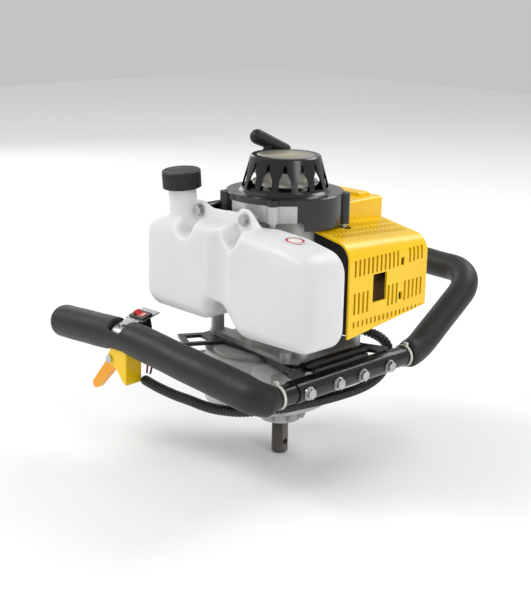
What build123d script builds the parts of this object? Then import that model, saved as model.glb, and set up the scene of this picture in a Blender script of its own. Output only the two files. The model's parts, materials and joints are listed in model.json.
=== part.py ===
"""Power head of a petrol ice auger: engine, reduction gearbox, frame, bars and controls.

Origin: centre of the free tip of the output shaft. +Z runs up the shaft and the crankshaft, which
share one axis. +Y runs along the cylinder and the front sleeve, +X points from the operator to the
sleeve. Millimetres. Each function below returns one sub-part, and NODES names them all.
"""
from build123d import *

import os
from math import acos, atan2, cos, degrees, hypot, pi, radians, sin, tan

# ---- driving dimensions -----------------------------------------------------------------------
FIT = 0.05            # radial clearance of a shaft in a bore
GAP = 0.3             # gap between pieces that move past each other
SCREW_GAP = 0.15      # radial clearance of a screw in its hole

# output shaft and gearbox
SHAFT_D = 20.0
SHAFT_STICKOUT = 45.0
CROSS_HOLE_D = 8.0
CROSS_HOLE_Z = 14.5
SPIGOT_R = 25.0
CASE_R = 76.0
CASE_WALL = 5.0
CASE_X = -24.0        # centre of the round gearbox
CASE_FLOOR_Z = 70.0
CASE_SPLIT_Z = 100.0
PLATE_Z = 136.0       # underside of the steel frame plate
PLATE_T = 4.0

# gears: wheel and pinion of each stage share one centre distance
MODULE_OUT = 1.5
TEETH_OUT, TEETH_IDLER_PINION = 51, 11
MODULE_IN = 1.0
TEETH_IDLER, TEETH_PINION = 82, 11
PRESSURE = 25.0
BACKLASH = 0.16
CENTRES = MODULE_OUT * (TEETH_OUT + TEETH_IDLER_PINION) / 2

# frame, sleeve and bars
SLEEVE_X, SLEEVE_Z = 97.0, 122.0
SLEEVE_D = 27.0
SLEEVE_HALF = 82.0
SLEEVE_FIT = 0.1
BAR_D = 24.0
BAR_WALL = 1.5
BAR_SPLIT = 0.3       # half the gap between the two bars inside the sleeve
LEFT_FOAM_D = 41.0
RIGHT_FOAM_D = 34.0
LEFT_FOAM_START, RIGHT_FOAM_START = 108.0, 116.0      # along each bar from the sleeve's middle
LEFT_BAR = [(SLEEVE_X, -BAR_SPLIT, SLEEVE_Z), (SLEEVE_X, -125, SLEEVE_Z), (-120, -136.5, 146.5),
            (-235, -146, 142.5)]
LEFT_BEND_R = [24, 300]
RIGHT_BAR = [(SLEEVE_X, BAR_SPLIT, SLEEVE_Z), (SLEEVE_X, 134, SLEEVE_Z), (95, 256, 200), (-230, 262, 208)]
RIGHT_BEND_R = [60, 40]
BOLT_D = 6.0
BOLT_Y = [-69, -21, 21, 69]

# engine
CLUTCH_R = 50.0
CLUTCH_TOP = 176.0
DRUM_R = 39.0
CRANKCASE_R = 48.0
CYL_Z = 208.0
CRANKCASE_TOP = 240.0
BORE_D = 44.0
THROW = 16.0
ROD_L = 74.0
CYL_Y0, CYL_Y1 = 50.0, 120.0
FIN_HALF = 48.0
BELL_R = 57.0
HOUSING_Z0, HOUSING_Z1 = 300.0, 319.0
SKIRT_Z = 290.0       # the housing's skirt hangs to here, except beside the tank
HOUSING_R = 69.0
HOUSING_WALL = 3.5
FAN_R = 61.0
CAGE_R0, CAGE_R1 = 51.0, 41.0
CAGE_TOP = 367.0
CAGE_SLOTS = 14
LUGS = [(57, 39), (38, -58), (-38, -58), (-57, 39)]
LUG_R = 7.0
LUG_HEAD_R = 4.6

# tank
TANK_Y0, TANK_Y1 = -110.0, -53.0
TANK_WALL = 3.0
TANK_ROUND = 16.0
TANK_BACK_ROUND = 9.0
TANK_CLEAR = 2.5      # from the tank to the round casings behind it
EAR_Y0, EAR_T = -80.0, 4.0
EAR_BOLTS = [(-58, 303), (16, 303)]
NECK_R = 16.5
NECK_TILT = 5.0
NECK_BASE = (-82.0, -82.0, 278.0)
NECK_L = 65.0
CAP_R = 22.5
CAP_H = 20.0

# covers
COVER_X0, COVER_X = -52.0, 114.0
COVER_Y0, COVER_Y1 = -12.0, 127.0
COVER_Z0 = 172.0
COVER_T = 2.6
DECK_Z = 296.0
DECK_X = 20.0         # the deck is level up to here and then falls towards +X
DECK_SLOPE = 0.18
DECK_TILT = 0.06      # and it falls this much towards +Y
HUMP_X = (-30.0, 41.0)
HUMP_Y0 = 66.0
HUMP_Z = 309.0


# ---- helpers ------------------------------------------------------------------------------------
def cyl(r, z0, z1, x=0.0, y=0.0):
    return Pos(x, y, (z0 + z1) / 2) * Cylinder(r, z1 - z0)


def cyl_x(r, x0, x1, y, z):
    return Pos((x0 + x1) / 2, y, z) * Rot(0, 90, 0) * Cylinder(r, x1 - x0)


def cyl_y(r, y0, y1, x, z):
    return Pos(x, (y0 + y1) / 2, z) * Rot(90, 0, 0) * Cylinder(r, y1 - y0)


def box(x0, x1, y0, y1, z0, z1):
    return Pos((x0 + x1) / 2, (y0 + y1) / 2, (z0 + z1) / 2) * Box(x1 - x0, y1 - y0, z1 - z0)


def rod(r, start, end, from_end=0.0):
    """Cylinder of radius r from start to end, shortened at the end by from_end."""
    a, b = Vector(start), Vector(end)
    plane = Plane(origin=a, z_dir=b - a)
    return plane * Pos(0, 0, ((b - a).length - from_end) / 2) * Cylinder(r, (b - a).length - from_end)


def turned(points, x=0.0, y=0.0):
    """Solid of revolution about a vertical axis, from (radius, z) points."""
    outline = Polyline(*[(r, 0, z) for r, z in points], close=True)
    return Pos(x, y, 0) * revolve(make_face(outline), Axis.Z)


def plan(points, z0, z1):
    """Flat plate with a plan outline of (x, y) points."""
    return extrude(Pos(0, 0, z0) * make_face(Polyline(*points, close=True)), amount=z1 - z0)


def side(points, y0, y1, radii=None):
    """Prism along Y with an outline of (x, z) points, rounded where radii are given."""
    corners = [(px, 0, pz) for px, pz in points]
    if radii:
        outline = FilletPolyline(*corners, radius=radii, close=True)
    else:
        outline = Polyline(*corners, close=True)
    face = make_face(outline)
    return Pos(0, y0, 0) * extrude(face, amount=y1 - y0, dir=(0, 1, 0))


def swept(path, r):
    return sweep(Plane(origin=path @ 0, z_dir=path % 0) * Circle(r), path=path)


def tube(path, r_out, r_in):
    return swept(path, r_out) - swept(path, r_in)


def polar(r, angle):
    return r * cos(radians(angle)), r * sin(radians(angle))


def hex_head(across, height):
    return extrude(RegularPolygon(across / 2, 6, major_radius=False), amount=height)


def gear_face(module, teeth, phase=0.0):
    """Involute gear outline; phase turns it, in degrees, and 0 has a tooth on +X."""
    rp = module * teeth / 2
    rb = rp * cos(radians(PRESSURE))
    tip, root = rp + 0.9 * module, rp - 1.2 * module
    inv_p = tan(radians(PRESSURE)) - radians(PRESSURE)
    half = pi / (2 * teeth) - BACKLASH / (2 * rp)

    def half_angle(r):
        a = acos(min(1.0, rb / r))
        return half + inv_p - (tan(a) - a)

    radii = [max(rb, root), (max(rb, root) + rp) / 2, rp, (rp + tip) / 2, tip]
    points = []
    for k in range(teeth):
        centre = radians(phase) + 2 * pi * k / teeth
        flank = [(r, half_angle(r)) for r in radii]
        if root < rb:
            flank.insert(0, (root, half_angle(rb)))
        for r, a in flank:
            points.append((r * cos(centre - a), r * sin(centre - a)))
        for r, a in reversed(flank):
            points.append((r * cos(centre + a), r * sin(centre + a)))
    return make_face(Polyline(*points, close=True))


def gear(module, teeth, z0, z1, phase=0.0, x=0.0):
    return Pos(x, 0, z0) * extrude(gear_face(module, teeth, phase), amount=z1 - z0)


# ---- heights inside the gearbox -------------------------------------------------------------------
OUT_GEAR_Z = (CASE_FLOOR_Z + 1.5, CASE_FLOOR_Z + 14)
WEB_Z = (CASE_FLOOR_Z + 16, CASE_FLOOR_Z + 24)
IN_GEAR_Z = (CASE_SPLIT_Z - 2, CASE_SPLIT_Z + 6)
CAVITY_R = CASE_R - CASE_WALL
LEDGE_R = CAVITY_R - 3
ROOF_Z = CASE_SPLIT_Z + 28
HUB_Z = IN_GEAR_Z[1] + 2
SHAFT_R = SHAFT_D / 2
JOURNAL_R = SHAFT_R - 1
TAIL_R = 7.5
SEAL_R, SEAL_Z = 17.5, (SHAFT_STICKOUT + 2, SHAFT_STICKOUT + 8)
OUT_BEARING = (21.0, SHAFT_STICKOUT + 9, SHAFT_STICKOUT + 21)
TAIL_BEARING = (14.0, WEB_Z[0] + 0.5, WEB_Z[1] - 0.5)
IDLER_R, IDLER_BEARING_R = 6.0, 12.0
IDLER_LOW = (CASE_FLOOR_Z - 7, CASE_FLOOR_Z - 1)
IDLER_HIGH = (HUB_Z + 1, HUB_Z + 7)
PINION_R, PINION_BEARING_R = 5.0, 13.0
PINION_LOW = (HUB_Z + 1, HUB_Z + 9)
PINION_HIGH = (PLATE_Z - 11, PLATE_Z - 3)
DRUM_Z = (PLATE_Z + PLATE_T + 6, CLUTCH_TOP - 6)
CASE_LUGS = [30, 90, 150, 210, 270, 330]
CASE_SCREW_R = 3.0
CASE_LUG_R = CASE_R + 5.8


def case_lugs(z0, z1):
    lugs = []
    for angle in CASE_LUGS:
        x, y = polar(CASE_LUG_R, angle)
        lugs.append(cyl(7, z0, z1, CASE_X + x, y))
    return lugs


def case_lug_holes(z0, z1):
    holes = []
    for angle in CASE_LUGS:
        x, y = polar(CASE_LUG_R, angle)
        holes.append(cyl(CASE_SCREW_R + SCREW_GAP, z0, z1, CASE_X + x, y))
    return holes


def gearbox_lower_case():
    low = CASE_FLOOR_Z - 12
    brim = CASE_FLOOR_Z - 3
    cone = loft([Pos(0, 0, low) * Circle(SPIGOT_R), Pos(CASE_X, 0, brim) * Circle(CASE_R - 6)])
    case = cyl(SPIGOT_R, SHAFT_STICKOUT, CASE_FLOOR_Z) + cone
    case += cyl(CASE_R, brim, CASE_SPLIT_Z, CASE_X)
    case += cyl(IDLER_BEARING_R + 5, low, CASE_FLOOR_Z, -CENTRES)
    for k in range(8):
        rib = side([(SPIGOT_R - 6, SHAFT_STICKOUT + 3), (SPIGOT_R + 5, SHAFT_STICKOUT + 3),
                    (SPIGOT_R + 14, CASE_FLOOR_Z), (SPIGOT_R - 6, CASE_FLOOR_Z)], -2.2, 2.2)
        case += Rot(0, 0, 22.5 + 45 * k) * rib
    case += box(32, 64, -82, -46, CASE_SPLIT_Z - 16, CASE_SPLIT_Z)
    for lug in case_lugs(CASE_SPLIT_Z - 14, CASE_SPLIT_Z):
        case += lug
    case -= cyl(LEDGE_R, CASE_FLOOR_Z, WEB_Z[0], CASE_X)
    case -= cyl(CAVITY_R, WEB_Z[0], CASE_SPLIT_Z, CASE_X)
    case -= cyl(SEAL_R, SHAFT_STICKOUT, OUT_BEARING[1])
    case -= cyl(OUT_BEARING[0], OUT_BEARING[1], CASE_FLOOR_Z)
    case -= cyl(IDLER_BEARING_R, IDLER_LOW[0], CASE_FLOOR_Z, -CENTRES)
    for hole in case_lug_holes(CASE_FLOOR_Z, CASE_SPLIT_Z):
        case -= hole
    return case


def gearbox_upper_case():
    case = cyl(CASE_R, CASE_SPLIT_Z, ROOF_Z + 3, CASE_X)
    for s in (1, -1):
        case += cyl(46, ROOF_Z, PLATE_Z, CASE_X, s * 27)
    case += cyl(46, ROOF_Z, PLATE_Z)
    case += box(32, 64, -82, -46, CASE_SPLIT_Z + 3, PLATE_Z - 2)
    for lug in case_lugs(CASE_SPLIT_Z, CASE_SPLIT_Z + 14):
        case += lug
    case -= cyl(CAVITY_R, CASE_SPLIT_Z, ROOF_Z, CASE_X)
    case += cyl(PINION_BEARING_R + 6, HUB_Z, PLATE_Z)
    case += cyl(IDLER_BEARING_R + 4, HUB_Z, PLATE_Z, -CENTRES)
    case -= cyl(PINION_BEARING_R, HUB_Z, PINION_HIGH[1])
    case -= cyl(PINION_R + 3, PINION_HIGH[1], PLATE_Z)
    case -= cyl(IDLER_BEARING_R, HUB_Z, IDLER_HIGH[1], -CENTRES)
    case -= cyl(IDLER_R + 1, IDLER_HIGH[1], IDLER_HIGH[1] + 3, -CENTRES)
    for hole in case_lug_holes(CASE_SPLIT_Z, CASE_SPLIT_Z + 14):
        case -= hole
    return case


def gear_support_plate():
    web = cyl(CAVITY_R, *WEB_Z, CASE_X)
    web -= cyl(TAIL_BEARING[0], *WEB_Z)
    pinion_tip = MODULE_OUT * (TEETH_IDLER_PINION + 1.8) / 2
    web -= cyl(pinion_tip + 1.5, *WEB_Z, -CENTRES)
    return web


def ring(r_out, r_in, z0, z1, x=0.0):
    return cyl(r_out, z0, z1, x) - cyl(r_in, z0, z1, x)


def ball_bearing(r_out, r_shaft, z0, z1, x=0.0):
    """Both races and the balls as one closed ring, with its bore a running fit on the shaft."""
    bearing = ring(r_out, r_shaft + FIT, z0, z1, x)
    mean, groove = (r_out + r_shaft) / 2, (r_out - r_shaft) / 5
    for z in (z0, z1 - 1):
        bearing -= ring(mean + groove, mean - groove, z, z + 1, x)
    return bearing


def shaft_bearings():
    return [
        ball_bearing(OUT_BEARING[0], JOURNAL_R, OUT_BEARING[1], OUT_BEARING[2]),
        ball_bearing(TAIL_BEARING[0], TAIL_R, TAIL_BEARING[1], TAIL_BEARING[2]),
        ball_bearing(IDLER_BEARING_R, IDLER_R, *IDLER_LOW, -CENTRES),
        ball_bearing(IDLER_BEARING_R, IDLER_R, *IDLER_HIGH, -CENTRES),
        ball_bearing(PINION_BEARING_R, PINION_R, *PINION_LOW),
        ball_bearing(PINION_BEARING_R, PINION_R, *PINION_HIGH),
        ball_bearing(CRANK_BEARING_R, CRANK_R, *CRANK_LOW),
        ball_bearing(CRANK_BEARING_R, CRANK_R, *CRANK_HIGH),
    ]


def output_seal():
    return ring(SEAL_R, JOURNAL_R + FIT, *SEAL_Z)


def output_shaft():
    shoulder = SHAFT_STICKOUT + 1
    shaft = turned([(0, 0), (SHAFT_R - 2, 0), (SHAFT_R, 2), (SHAFT_R, shoulder), (JOURNAL_R, shoulder),
                    (JOURNAL_R, OUT_GEAR_Z[1]), (TAIL_R, OUT_GEAR_Z[1]), (TAIL_R, WEB_Z[1]), (0, WEB_Z[1])])
    return shaft - cyl_x(CROSS_HOLE_D / 2, -SHAFT_D, SHAFT_D, 0, CROSS_HOLE_Z)


def output_gear():
    wheel = gear(MODULE_OUT, TEETH_OUT, *OUT_GEAR_Z, phase=0.0)
    wheel -= cyl(JOURNAL_R, *OUT_GEAR_Z)
    for k in range(6):
        x, y = polar(24, 30 + 60 * k)
        wheel -= cyl(6, *OUT_GEAR_Z, x, y)
    return wheel


# A wheel tooth sits on the line of centres, so each pinion turned to a space there is in mesh.
IDLER_PINION_PHASE = 180.0 / TEETH_IDLER_PINION if TEETH_OUT % 2 == 0 else 0.0


def idler_shaft():
    pinion = gear(MODULE_OUT, TEETH_IDLER_PINION, *OUT_GEAR_Z, IDLER_PINION_PHASE, -CENTRES)
    return pinion + cyl(IDLER_R, IDLER_LOW[0], IDLER_HIGH[1], -CENTRES)


def idler_wheel():
    wheel = gear(MODULE_IN, TEETH_IDLER, *IN_GEAR_Z, 0.0, -CENTRES)
    wheel -= cyl(IDLER_R, *IN_GEAR_Z, -CENTRES)
    for k in range(6):
        x, y = polar(24, 30 + 60 * k)
        wheel -= cyl(7, *IN_GEAR_Z, x - CENTRES, y)
    return wheel


def drive_pinion():
    pinion = gear(MODULE_IN, TEETH_PINION, IN_GEAR_Z[0] - 0.5, HUB_Z + 0.5, 0.0)
    return pinion + cyl(PINION_R, HUB_Z + 0.5, DRUM_Z[0] + 8)


def clutch_drum():
    floor, wall = 3.0, 2.5
    drum = cyl(DRUM_R, *DRUM_Z) - cyl(DRUM_R - wall, DRUM_Z[0] + floor, DRUM_Z[1])
    drum += cyl(PINION_R + 4, DRUM_Z[0], DRUM_Z[0] + 8)
    for k in range(6):
        x, y = polar(23, 60 * k)
        drum -= cyl(5, DRUM_Z[0], DRUM_Z[0] + floor, x, y)
    return drum - cyl(PINION_R, DRUM_Z[0], DRUM_Z[0] + 8)


# ---- frame and bars -------------------------------------------------------------------------------
PLATE_TOP = PLATE_Z + PLATE_T
BASE_T = 6.0          # aluminium foot of the clutch housing, on the frame plate
# Hollow aluminium posts that stand on the frame plate: x, y, height above the plate
POSTS = [(-78, -33, 34), (56, -50, 12), (68, -38, 12), (65, 56, 20), (-78, 33, 34)]
POST_R = 8.0
POST_SCREW_R = 3.0


def mounting_plate():
    """Black steel plate between the gearbox and the engine, with rails to the sleeve's ends."""
    end = SLEEVE_HALF
    plate = cyl(46, PLATE_Z, PLATE_TOP)
    for s in (1, -1):
        plate += plan([(-92, s * 24), (-92, s * 44), (-50, s * 50), (4, s * 50), (56, s * 66),
                       (SLEEVE_X, s * end), (SLEEVE_X, s * (end - 20)), (40, s * 30), (-60, s * 20)],
                      PLATE_Z, PLATE_TOP)
        plate += plan([(-92, s * 44), (-108, s * 72), (-74, s * 92), (-50, s * 50)], PLATE_Z, PLATE_TOP)
        plate -= plan([(-88, s * 53), (-97, s * 70), (-75, s * 82), (-61, s * 58)], PLATE_Z, PLATE_TOP)
        plate -= plan([(58, s * 58), (81, s * 64), (81, s * 48)], PLATE_Z, PLATE_TOP)
    plate += box(40, SLEEVE_X, -46, 46, PLATE_Z, PLATE_TOP)
    plate += cyl_y(6, -50, 54, SLEEVE_X - 14, PLATE_TOP)
    plate -= cyl(PINION_R + 3, PLATE_Z, PLATE_TOP)
    for x, y, _ in POSTS:
        plate -= cyl(POST_SCREW_R + SCREW_GAP, PLATE_Z, PLATE_TOP, x, y)
    return plate - cyl_y(SLEEVE_D / 2, -SLEEVE_HALF, SLEEVE_HALF, SLEEVE_X, SLEEVE_Z)


def bolt_holes(r):
    return [cyl_x(r, SLEEVE_X - SLEEVE_D, SLEEVE_X + SLEEVE_D, y, SLEEVE_Z) for y in BOLT_Y]


def front_sleeve():
    sleeve = cyl_y(SLEEVE_D / 2, -SLEEVE_HALF, SLEEVE_HALF, SLEEVE_X, SLEEVE_Z)
    sleeve -= cyl_y(BAR_D / 2 + SLEEVE_FIT, -SLEEVE_HALF, SLEEVE_HALF, SLEEVE_X, SLEEVE_Z)
    for hole in bolt_holes(BOLT_D / 2 + SCREW_GAP):
        sleeve -= hole
    return sleeve


LEFT_PATH = FilletPolyline(*LEFT_BAR, radius=LEFT_BEND_R)
RIGHT_PATH = FilletPolyline(*RIGHT_BAR, radius=RIGHT_BEND_R)


def handlebar(path):
    bar = tube(path, BAR_D / 2, BAR_D / 2 - BAR_WALL)
    for hole in bolt_holes(BOLT_D / 2 + SCREW_GAP):
        bar -= hole
    return bar


def left_handlebar():
    return handlebar(LEFT_PATH)


def right_handlebar():
    return handlebar(RIGHT_PATH)


FOAM_OVERHANG = 14.0          # foam beyond the bar's free end, rounded over
NECK_FOAM_D = 28.0            # where a tie pinches the foam


def foam(path, diameter, start, taper):
    """Foam tube over a bar from start, in mm along the path, closed over the bar's free end."""
    share = start / path.length
    plane = Plane(origin=path @ share, z_dir=path % share)
    outer = swept(path, diameter / 2) - plane * Pos(0, 0, -100) * Box(120, 120, 200)
    outer -= plane * Pos(0, 0, taper / 2) * (
        Cylinder(diameter, taper) - Cone(NECK_FOAM_D / 2, diameter / 2, taper))
    end = Plane(origin=path @ 1, z_dir=path % 1)
    cap = end * Pos(0, 0, FOAM_OVERHANG / 2) * Cylinder(diameter / 2, FOAM_OVERHANG)
    rim = cap.edges().sort_by(Axis(end.origin, end.z_dir))[-1]
    return outer - swept(path, BAR_D / 2) + fillet(rim, FOAM_OVERHANG - 2)


# Frame of the controls on the left bar: x runs out along the bar, y away from the engine, z up.
CONTROL_REACH = 111.0         # from the bar's free end to the controls
CONTROL_SHARE = 1 - CONTROL_REACH / LEFT_PATH.length
ARM_DIR = LEFT_PATH % CONTROL_SHARE
ARM = Plane(origin=LEFT_PATH @ CONTROL_SHARE, x_dir=ARM_DIR,
            z_dir=Vector(0, 0, 1) - ARM_DIR * ARM_DIR.Z)
BODY_X = (-12.0, 16.0)        # throttle housing along the bar
BODY_HALF = 13.0
STRAP_X = (-4.0, 16.0)        # switch bracket along the bar
FOAM_CLEAR = 1.5


def left_foam_grip():
    grip = foam(LEFT_PATH, LEFT_FOAM_D, LEFT_FOAM_START, 16)
    x0, x1 = STRAP_X
    grip -= ARM * box(x0 - FOAM_CLEAR, x1 + FOAM_CLEAR, -40, BAR_D / 2 + 5, 3, 40)
    x0, x1 = BODY_X
    half = BODY_HALF + 1
    grip -= ARM * box(x0 - 1, x1 + 1, -half, half, -40, 0)
    grip -= ARM * box(x1, x1 + 10, -half, half, -40, -LEFT_FOAM_D / 2 + 4)
    return grip


def right_foam_grip():
    return foam(RIGHT_PATH, RIGHT_FOAM_D, RIGHT_FOAM_START, 5)


def handle_bolts():
    """Four hex bolts with washers through the sleeve and bars, and their nuts."""
    front, back = SLEEVE_X + SLEEVE_D / 2, SLEEVE_X - SLEEVE_D / 2
    washer_t, nut_h = 1.6, 6.0
    pieces = []
    for y in BOLT_Y:
        shank = cyl_x(BOLT_D / 2, back - nut_h - 2, front + washer_t, y, SLEEVE_Z)
        washer = cyl_x(7.8, front, front + washer_t, y, SLEEVE_Z)
        head = Plane(origin=(front + washer_t, y, SLEEVE_Z), z_dir=(1, 0, 0)) * hex_head(11, 4.4)
        nut = Plane(origin=(back, y, SLEEVE_Z), z_dir=(-1, 0, 0)) * hex_head(10, nut_h)
        pieces += [shank + washer + head, nut - cyl_x(BOLT_D / 2, back - nut_h, back, y, SLEEVE_Z)]
    return pieces


def zip_ties():
    ties = []
    for path, start in ((LEFT_PATH, LEFT_FOAM_START), (RIGHT_PATH, RIGHT_FOAM_START)):
        share = (start - 4) / path.length
        plane = Plane(origin=path @ share, x_dir=(0, 0, 1), z_dir=path % share)
        band = Cylinder(BAR_D / 2 + 1.9, 3) - Cylinder(BAR_D / 2 + GAP, 3)
        head = Pos(BAR_D / 2 + 3.2, 3, 0) * Box(4.4, 5, 4)
        ties.append(plane * (band + head))
    return ties


# ---- throttle and switch --------------------------------------------------------------------------
PIVOT = (16.0, -28.0)         # trigger pivot in the arm's frame: along, up
PIVOT_R = 2.5
TRIGGER_HALF = 4.5
TRIGGER_TIP = (52.0, -72.0)
TRIGGER_ROOT_R, TRIGGER_TIP_R = 8.0, 5.5


def arm_side(points, half):
    """Prism across the arm from (along, up) points, centred on the bar."""
    face = make_face(Polyline(*[(a, -half, u) for a, u in points], close=True))
    return ARM * extrude(face, amount=2 * half, dir=(0, 1, 0))


def arm_pin(r, along, up, half):
    return ARM * Pos(along, 0, up) * Rot(90, 0, 0) * Cylinder(r, 2 * half)


def throttle_housing():
    x0, x1 = BODY_X
    body = arm_side([(x0, -2), (x1, -2), (x1, PIVOT[1] + 10), (x1 + 5, PIVOT[1] + 3),
                     (x1 + 4, PIVOT[1] - 6), (6, -40), (-6, -54), (x0, -56)], BODY_HALF)
    corners = body.edges().filter_by(lambda e: abs(ARM.to_local_coords(e.center()).Y) > BODY_HALF - 0.1)
    low = corners.filter_by(lambda e: ARM.to_local_coords(e.center()).Z < -25)
    body = fillet(low, 2)
    body -= swept(LEFT_PATH, BAR_D / 2)
    slot_root = PIVOT[0] - TRIGGER_ROOT_R - 2
    slot_half = TRIGGER_HALF + 0.5
    body -= arm_side([(slot_root, -18), (60, -18), (60, -70), (slot_root, -70)], slot_half)
    return body - arm_pin(PIVOT_R + SCREW_GAP, *PIVOT, 30)


def throttle_trigger():
    root, tip = Vector(PIVOT[0], PIVOT[1]), Vector(*TRIGGER_TIP)
    across = Vector(-(tip - root).Y, (tip - root).X).normalized()
    outline = [root + across * TRIGGER_ROOT_R, tip + across * TRIGGER_TIP_R,
               tip - across * TRIGGER_TIP_R, root - across * TRIGGER_ROOT_R]
    blade = arm_side([(p.X, p.Y) for p in outline], TRIGGER_HALF)
    blade += arm_pin(TRIGGER_ROOT_R, *PIVOT, TRIGGER_HALF)
    blade += arm_pin(TRIGGER_TIP_R, *TRIGGER_TIP, TRIGGER_HALF)
    return blade - arm_pin(PIVOT_R + FIT, *PIVOT, 30)


def pivot_screw():
    screw = arm_pin(PIVOT_R, *PIVOT, BODY_HALF + 1)
    for s in (1, -1):
        screw += ARM * Pos(PIVOT[0], s * (BODY_HALF + 1.5), PIVOT[1]) * Rot(90, 0, 0) * Cylinder(4.5, 3)
    return screw


BRACKET_T = 1.6
SWITCH_AT = (6.0, -28.0, 19.0)        # centre of the rocker switch in the arm's frame
SWITCH_TILT = 12.0
SWITCH_HOLE = (19.4, 13.0)
STRAP_SCREW = (6.0, 2.5)
STRAP_SCREW_R = 3.6
SWITCH = ARM * Pos(*SWITCH_AT) * Rot(-SWITCH_TILT, 0, 0)


def switch_bracket():
    """Bent zinc strap: a saddle clamped on the bar, and a tongue that holds the switch."""
    x0, x1 = STRAP_X
    middle, width = (x0 + x1) / 2, x1 - x0
    ring_axis = ARM * Pos(middle, 0, 0) * Rot(0, 90, 0)
    saddle = ring_axis * (Cylinder(BAR_D / 2 + BRACKET_T, width) - Cylinder(BAR_D / 2, width))
    saddle &= ARM * box(x0, x1, -4, 20, 4, 20)
    tongue = SWITCH * Pos(0, 4.5, 0) * Box(width, 45, BRACKET_T)
    tongue += SWITCH * Pos(0, -3, 0) * Box(width + 8, 30, BRACKET_T)
    bracket = saddle + tongue - SWITCH * Box(*SWITCH_HOLE, 4) - swept(LEFT_PATH, BAR_D / 2)
    return bracket - ARM * Pos(*STRAP_SCREW, 15) * Cylinder(STRAP_SCREW_R + SCREW_GAP, 10)


def strap_screw():
    return ARM * Pos(*STRAP_SCREW, 14) * Cylinder(STRAP_SCREW_R, 3.8) - swept(LEFT_PATH, BAR_D / 2)


ROCKER = (15.4, 8.6)          # size of the rocker in plan


def switch_body():
    length, width = SWITCH_HOLE[0] - 0.4, SWITCH_HOLE[1] - 0.4
    body = SWITCH * Pos(0, 0, -7.6) * Box(length, width, 17.8)
    bezel = SWITCH * Pos(0, 0, BRACKET_T / 2 + 1) * Box(length + 4.6, width + 4.4, 2)
    well = SWITCH * Pos(0, 0, 0.5) * Box(ROCKER[0] + 1.8, ROCKER[1] + 0.8, 9)
    return body + bezel - well


def switch_rocker():
    half, side_y = ROCKER[0] / 2, ROCKER[1] / 2
    profile = [(-half, 3.4), (0, 2.6), (half, 6.2), (half - 0.6, 0), (3, -2.8), (-3, -2.8), (0.6 - half, 0)]
    face = make_face(Polyline(*[(a, -side_y, u) for a, u in profile], close=True))
    return SWITCH * extrude(face, amount=2 * side_y, dir=(0, 1, 0))


# ---- cords that the machine holds -----------------------------------------------------------------
CONDUIT_R = 6.2
CONDUIT = [(-112, -122, 92), (-93, -123, 90), (-70, -124, 89), (-48, -123, 88), (-27, -123, 89),
           (-7, -122, 88), (12, -121, 89), (30, -118, 91), (49, -114, 94), (64, -109, 98),
           (75, -100, 100), (81, -87, 100), (82, -70, 98), (80, -46, 95), (79, -13, 91), (79, 22, 89), (78, 56, 88),
           (74, 84, 89), (69, 107, 93), (66, 122, 105), (66, 124, 121), (63, 113, 136),
           (55, 96, 146), (38, 84, 150), (10, 78, 149), (-20, 77, 149), (-45, 81, 151),
           (-62, 90, 160), (-69, 98, 176), (-70, 101, 192)]
LEAD_R = 1.2
RED_LEAD = [(-137, -106, 147), (-134, -107, 134), (-125, -110, 121), (-114, -114, 111), (-109, -120, 100)]
BLACK_LEAD = [(-129, -105, 147), (-125, -104, 134), (-116, -107, 121), (-107, -112, 111), (-104, -119, 100)]
PLUG_LEAD_R = 3.0
PLUG_LEAD = [(13, 74.6, 272), (15, 88, 272), (16, 106, 270), (13, 124, 264), (7, 136, 255),
             (0, 142, 244), (0, 142, 232.3)]
FUEL_LINE_R = 2.5
FUEL_LINE = [(-96, -52, 196), (-95, -36, 195), (-90, -14, 192), (-84, 10, 191), (-79, 34, 193),
             (-77, 57.5, 198)]


def cord_path(points):
    """Straight runs joined by tangent arcs, each as large as its two runs allow."""
    at = [Vector(*p) for p in points]
    radii = []
    for a, b, c in zip(at, at[1:], at[2:]):
        turn = radians((b - a).get_angle(c - b))
        radii.append(0.45 * min((b - a).length, (c - b).length) / tan(turn / 2))
    return FilletPolyline(*at, radius=radii), radii


def cable_conduit():
    return swept(cord_path(CONDUIT)[0], CONDUIT_R)


def wiring():
    """The switch's two leads down to the conduit's mouth, and the spark plug lead."""
    cords = ((RED_LEAD, LEAD_R), (BLACK_LEAD, LEAD_R), (PLUG_LEAD, PLUG_LEAD_R))
    return [swept(cord_path(points)[0], r) for points, r in cords]


def fuel_line():
    return swept(cord_path(FUEL_LINE)[0], FUEL_LINE_R)


# ---- engine ---------------------------------------------------------------------------------------
CRANK_R, CRANK_BEARING_R = 7.5, 17.5
CRANK_LOW = (CLUTCH_TOP + 1, CLUTCH_TOP + 12)
CRANK_HIGH = (CRANKCASE_TOP - 12, CRANKCASE_TOP - 1)
WEB_R, WEB_T, ROD_GAP = 30.0, 8.0, 8.0
PIN_R = 6.0
WRIST_R = 4.5
BORE_R = BORE_D / 2
PISTON_Y = THROW + ROD_L          # wrist pin at top dead centre
CROWN, SKIRT = 18.0, 20.0
PAD_HALF = 34.0                   # half width of the crankcase's face for the cylinder
CRANK_TOP = HOUSING_Z1 + 9


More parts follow.
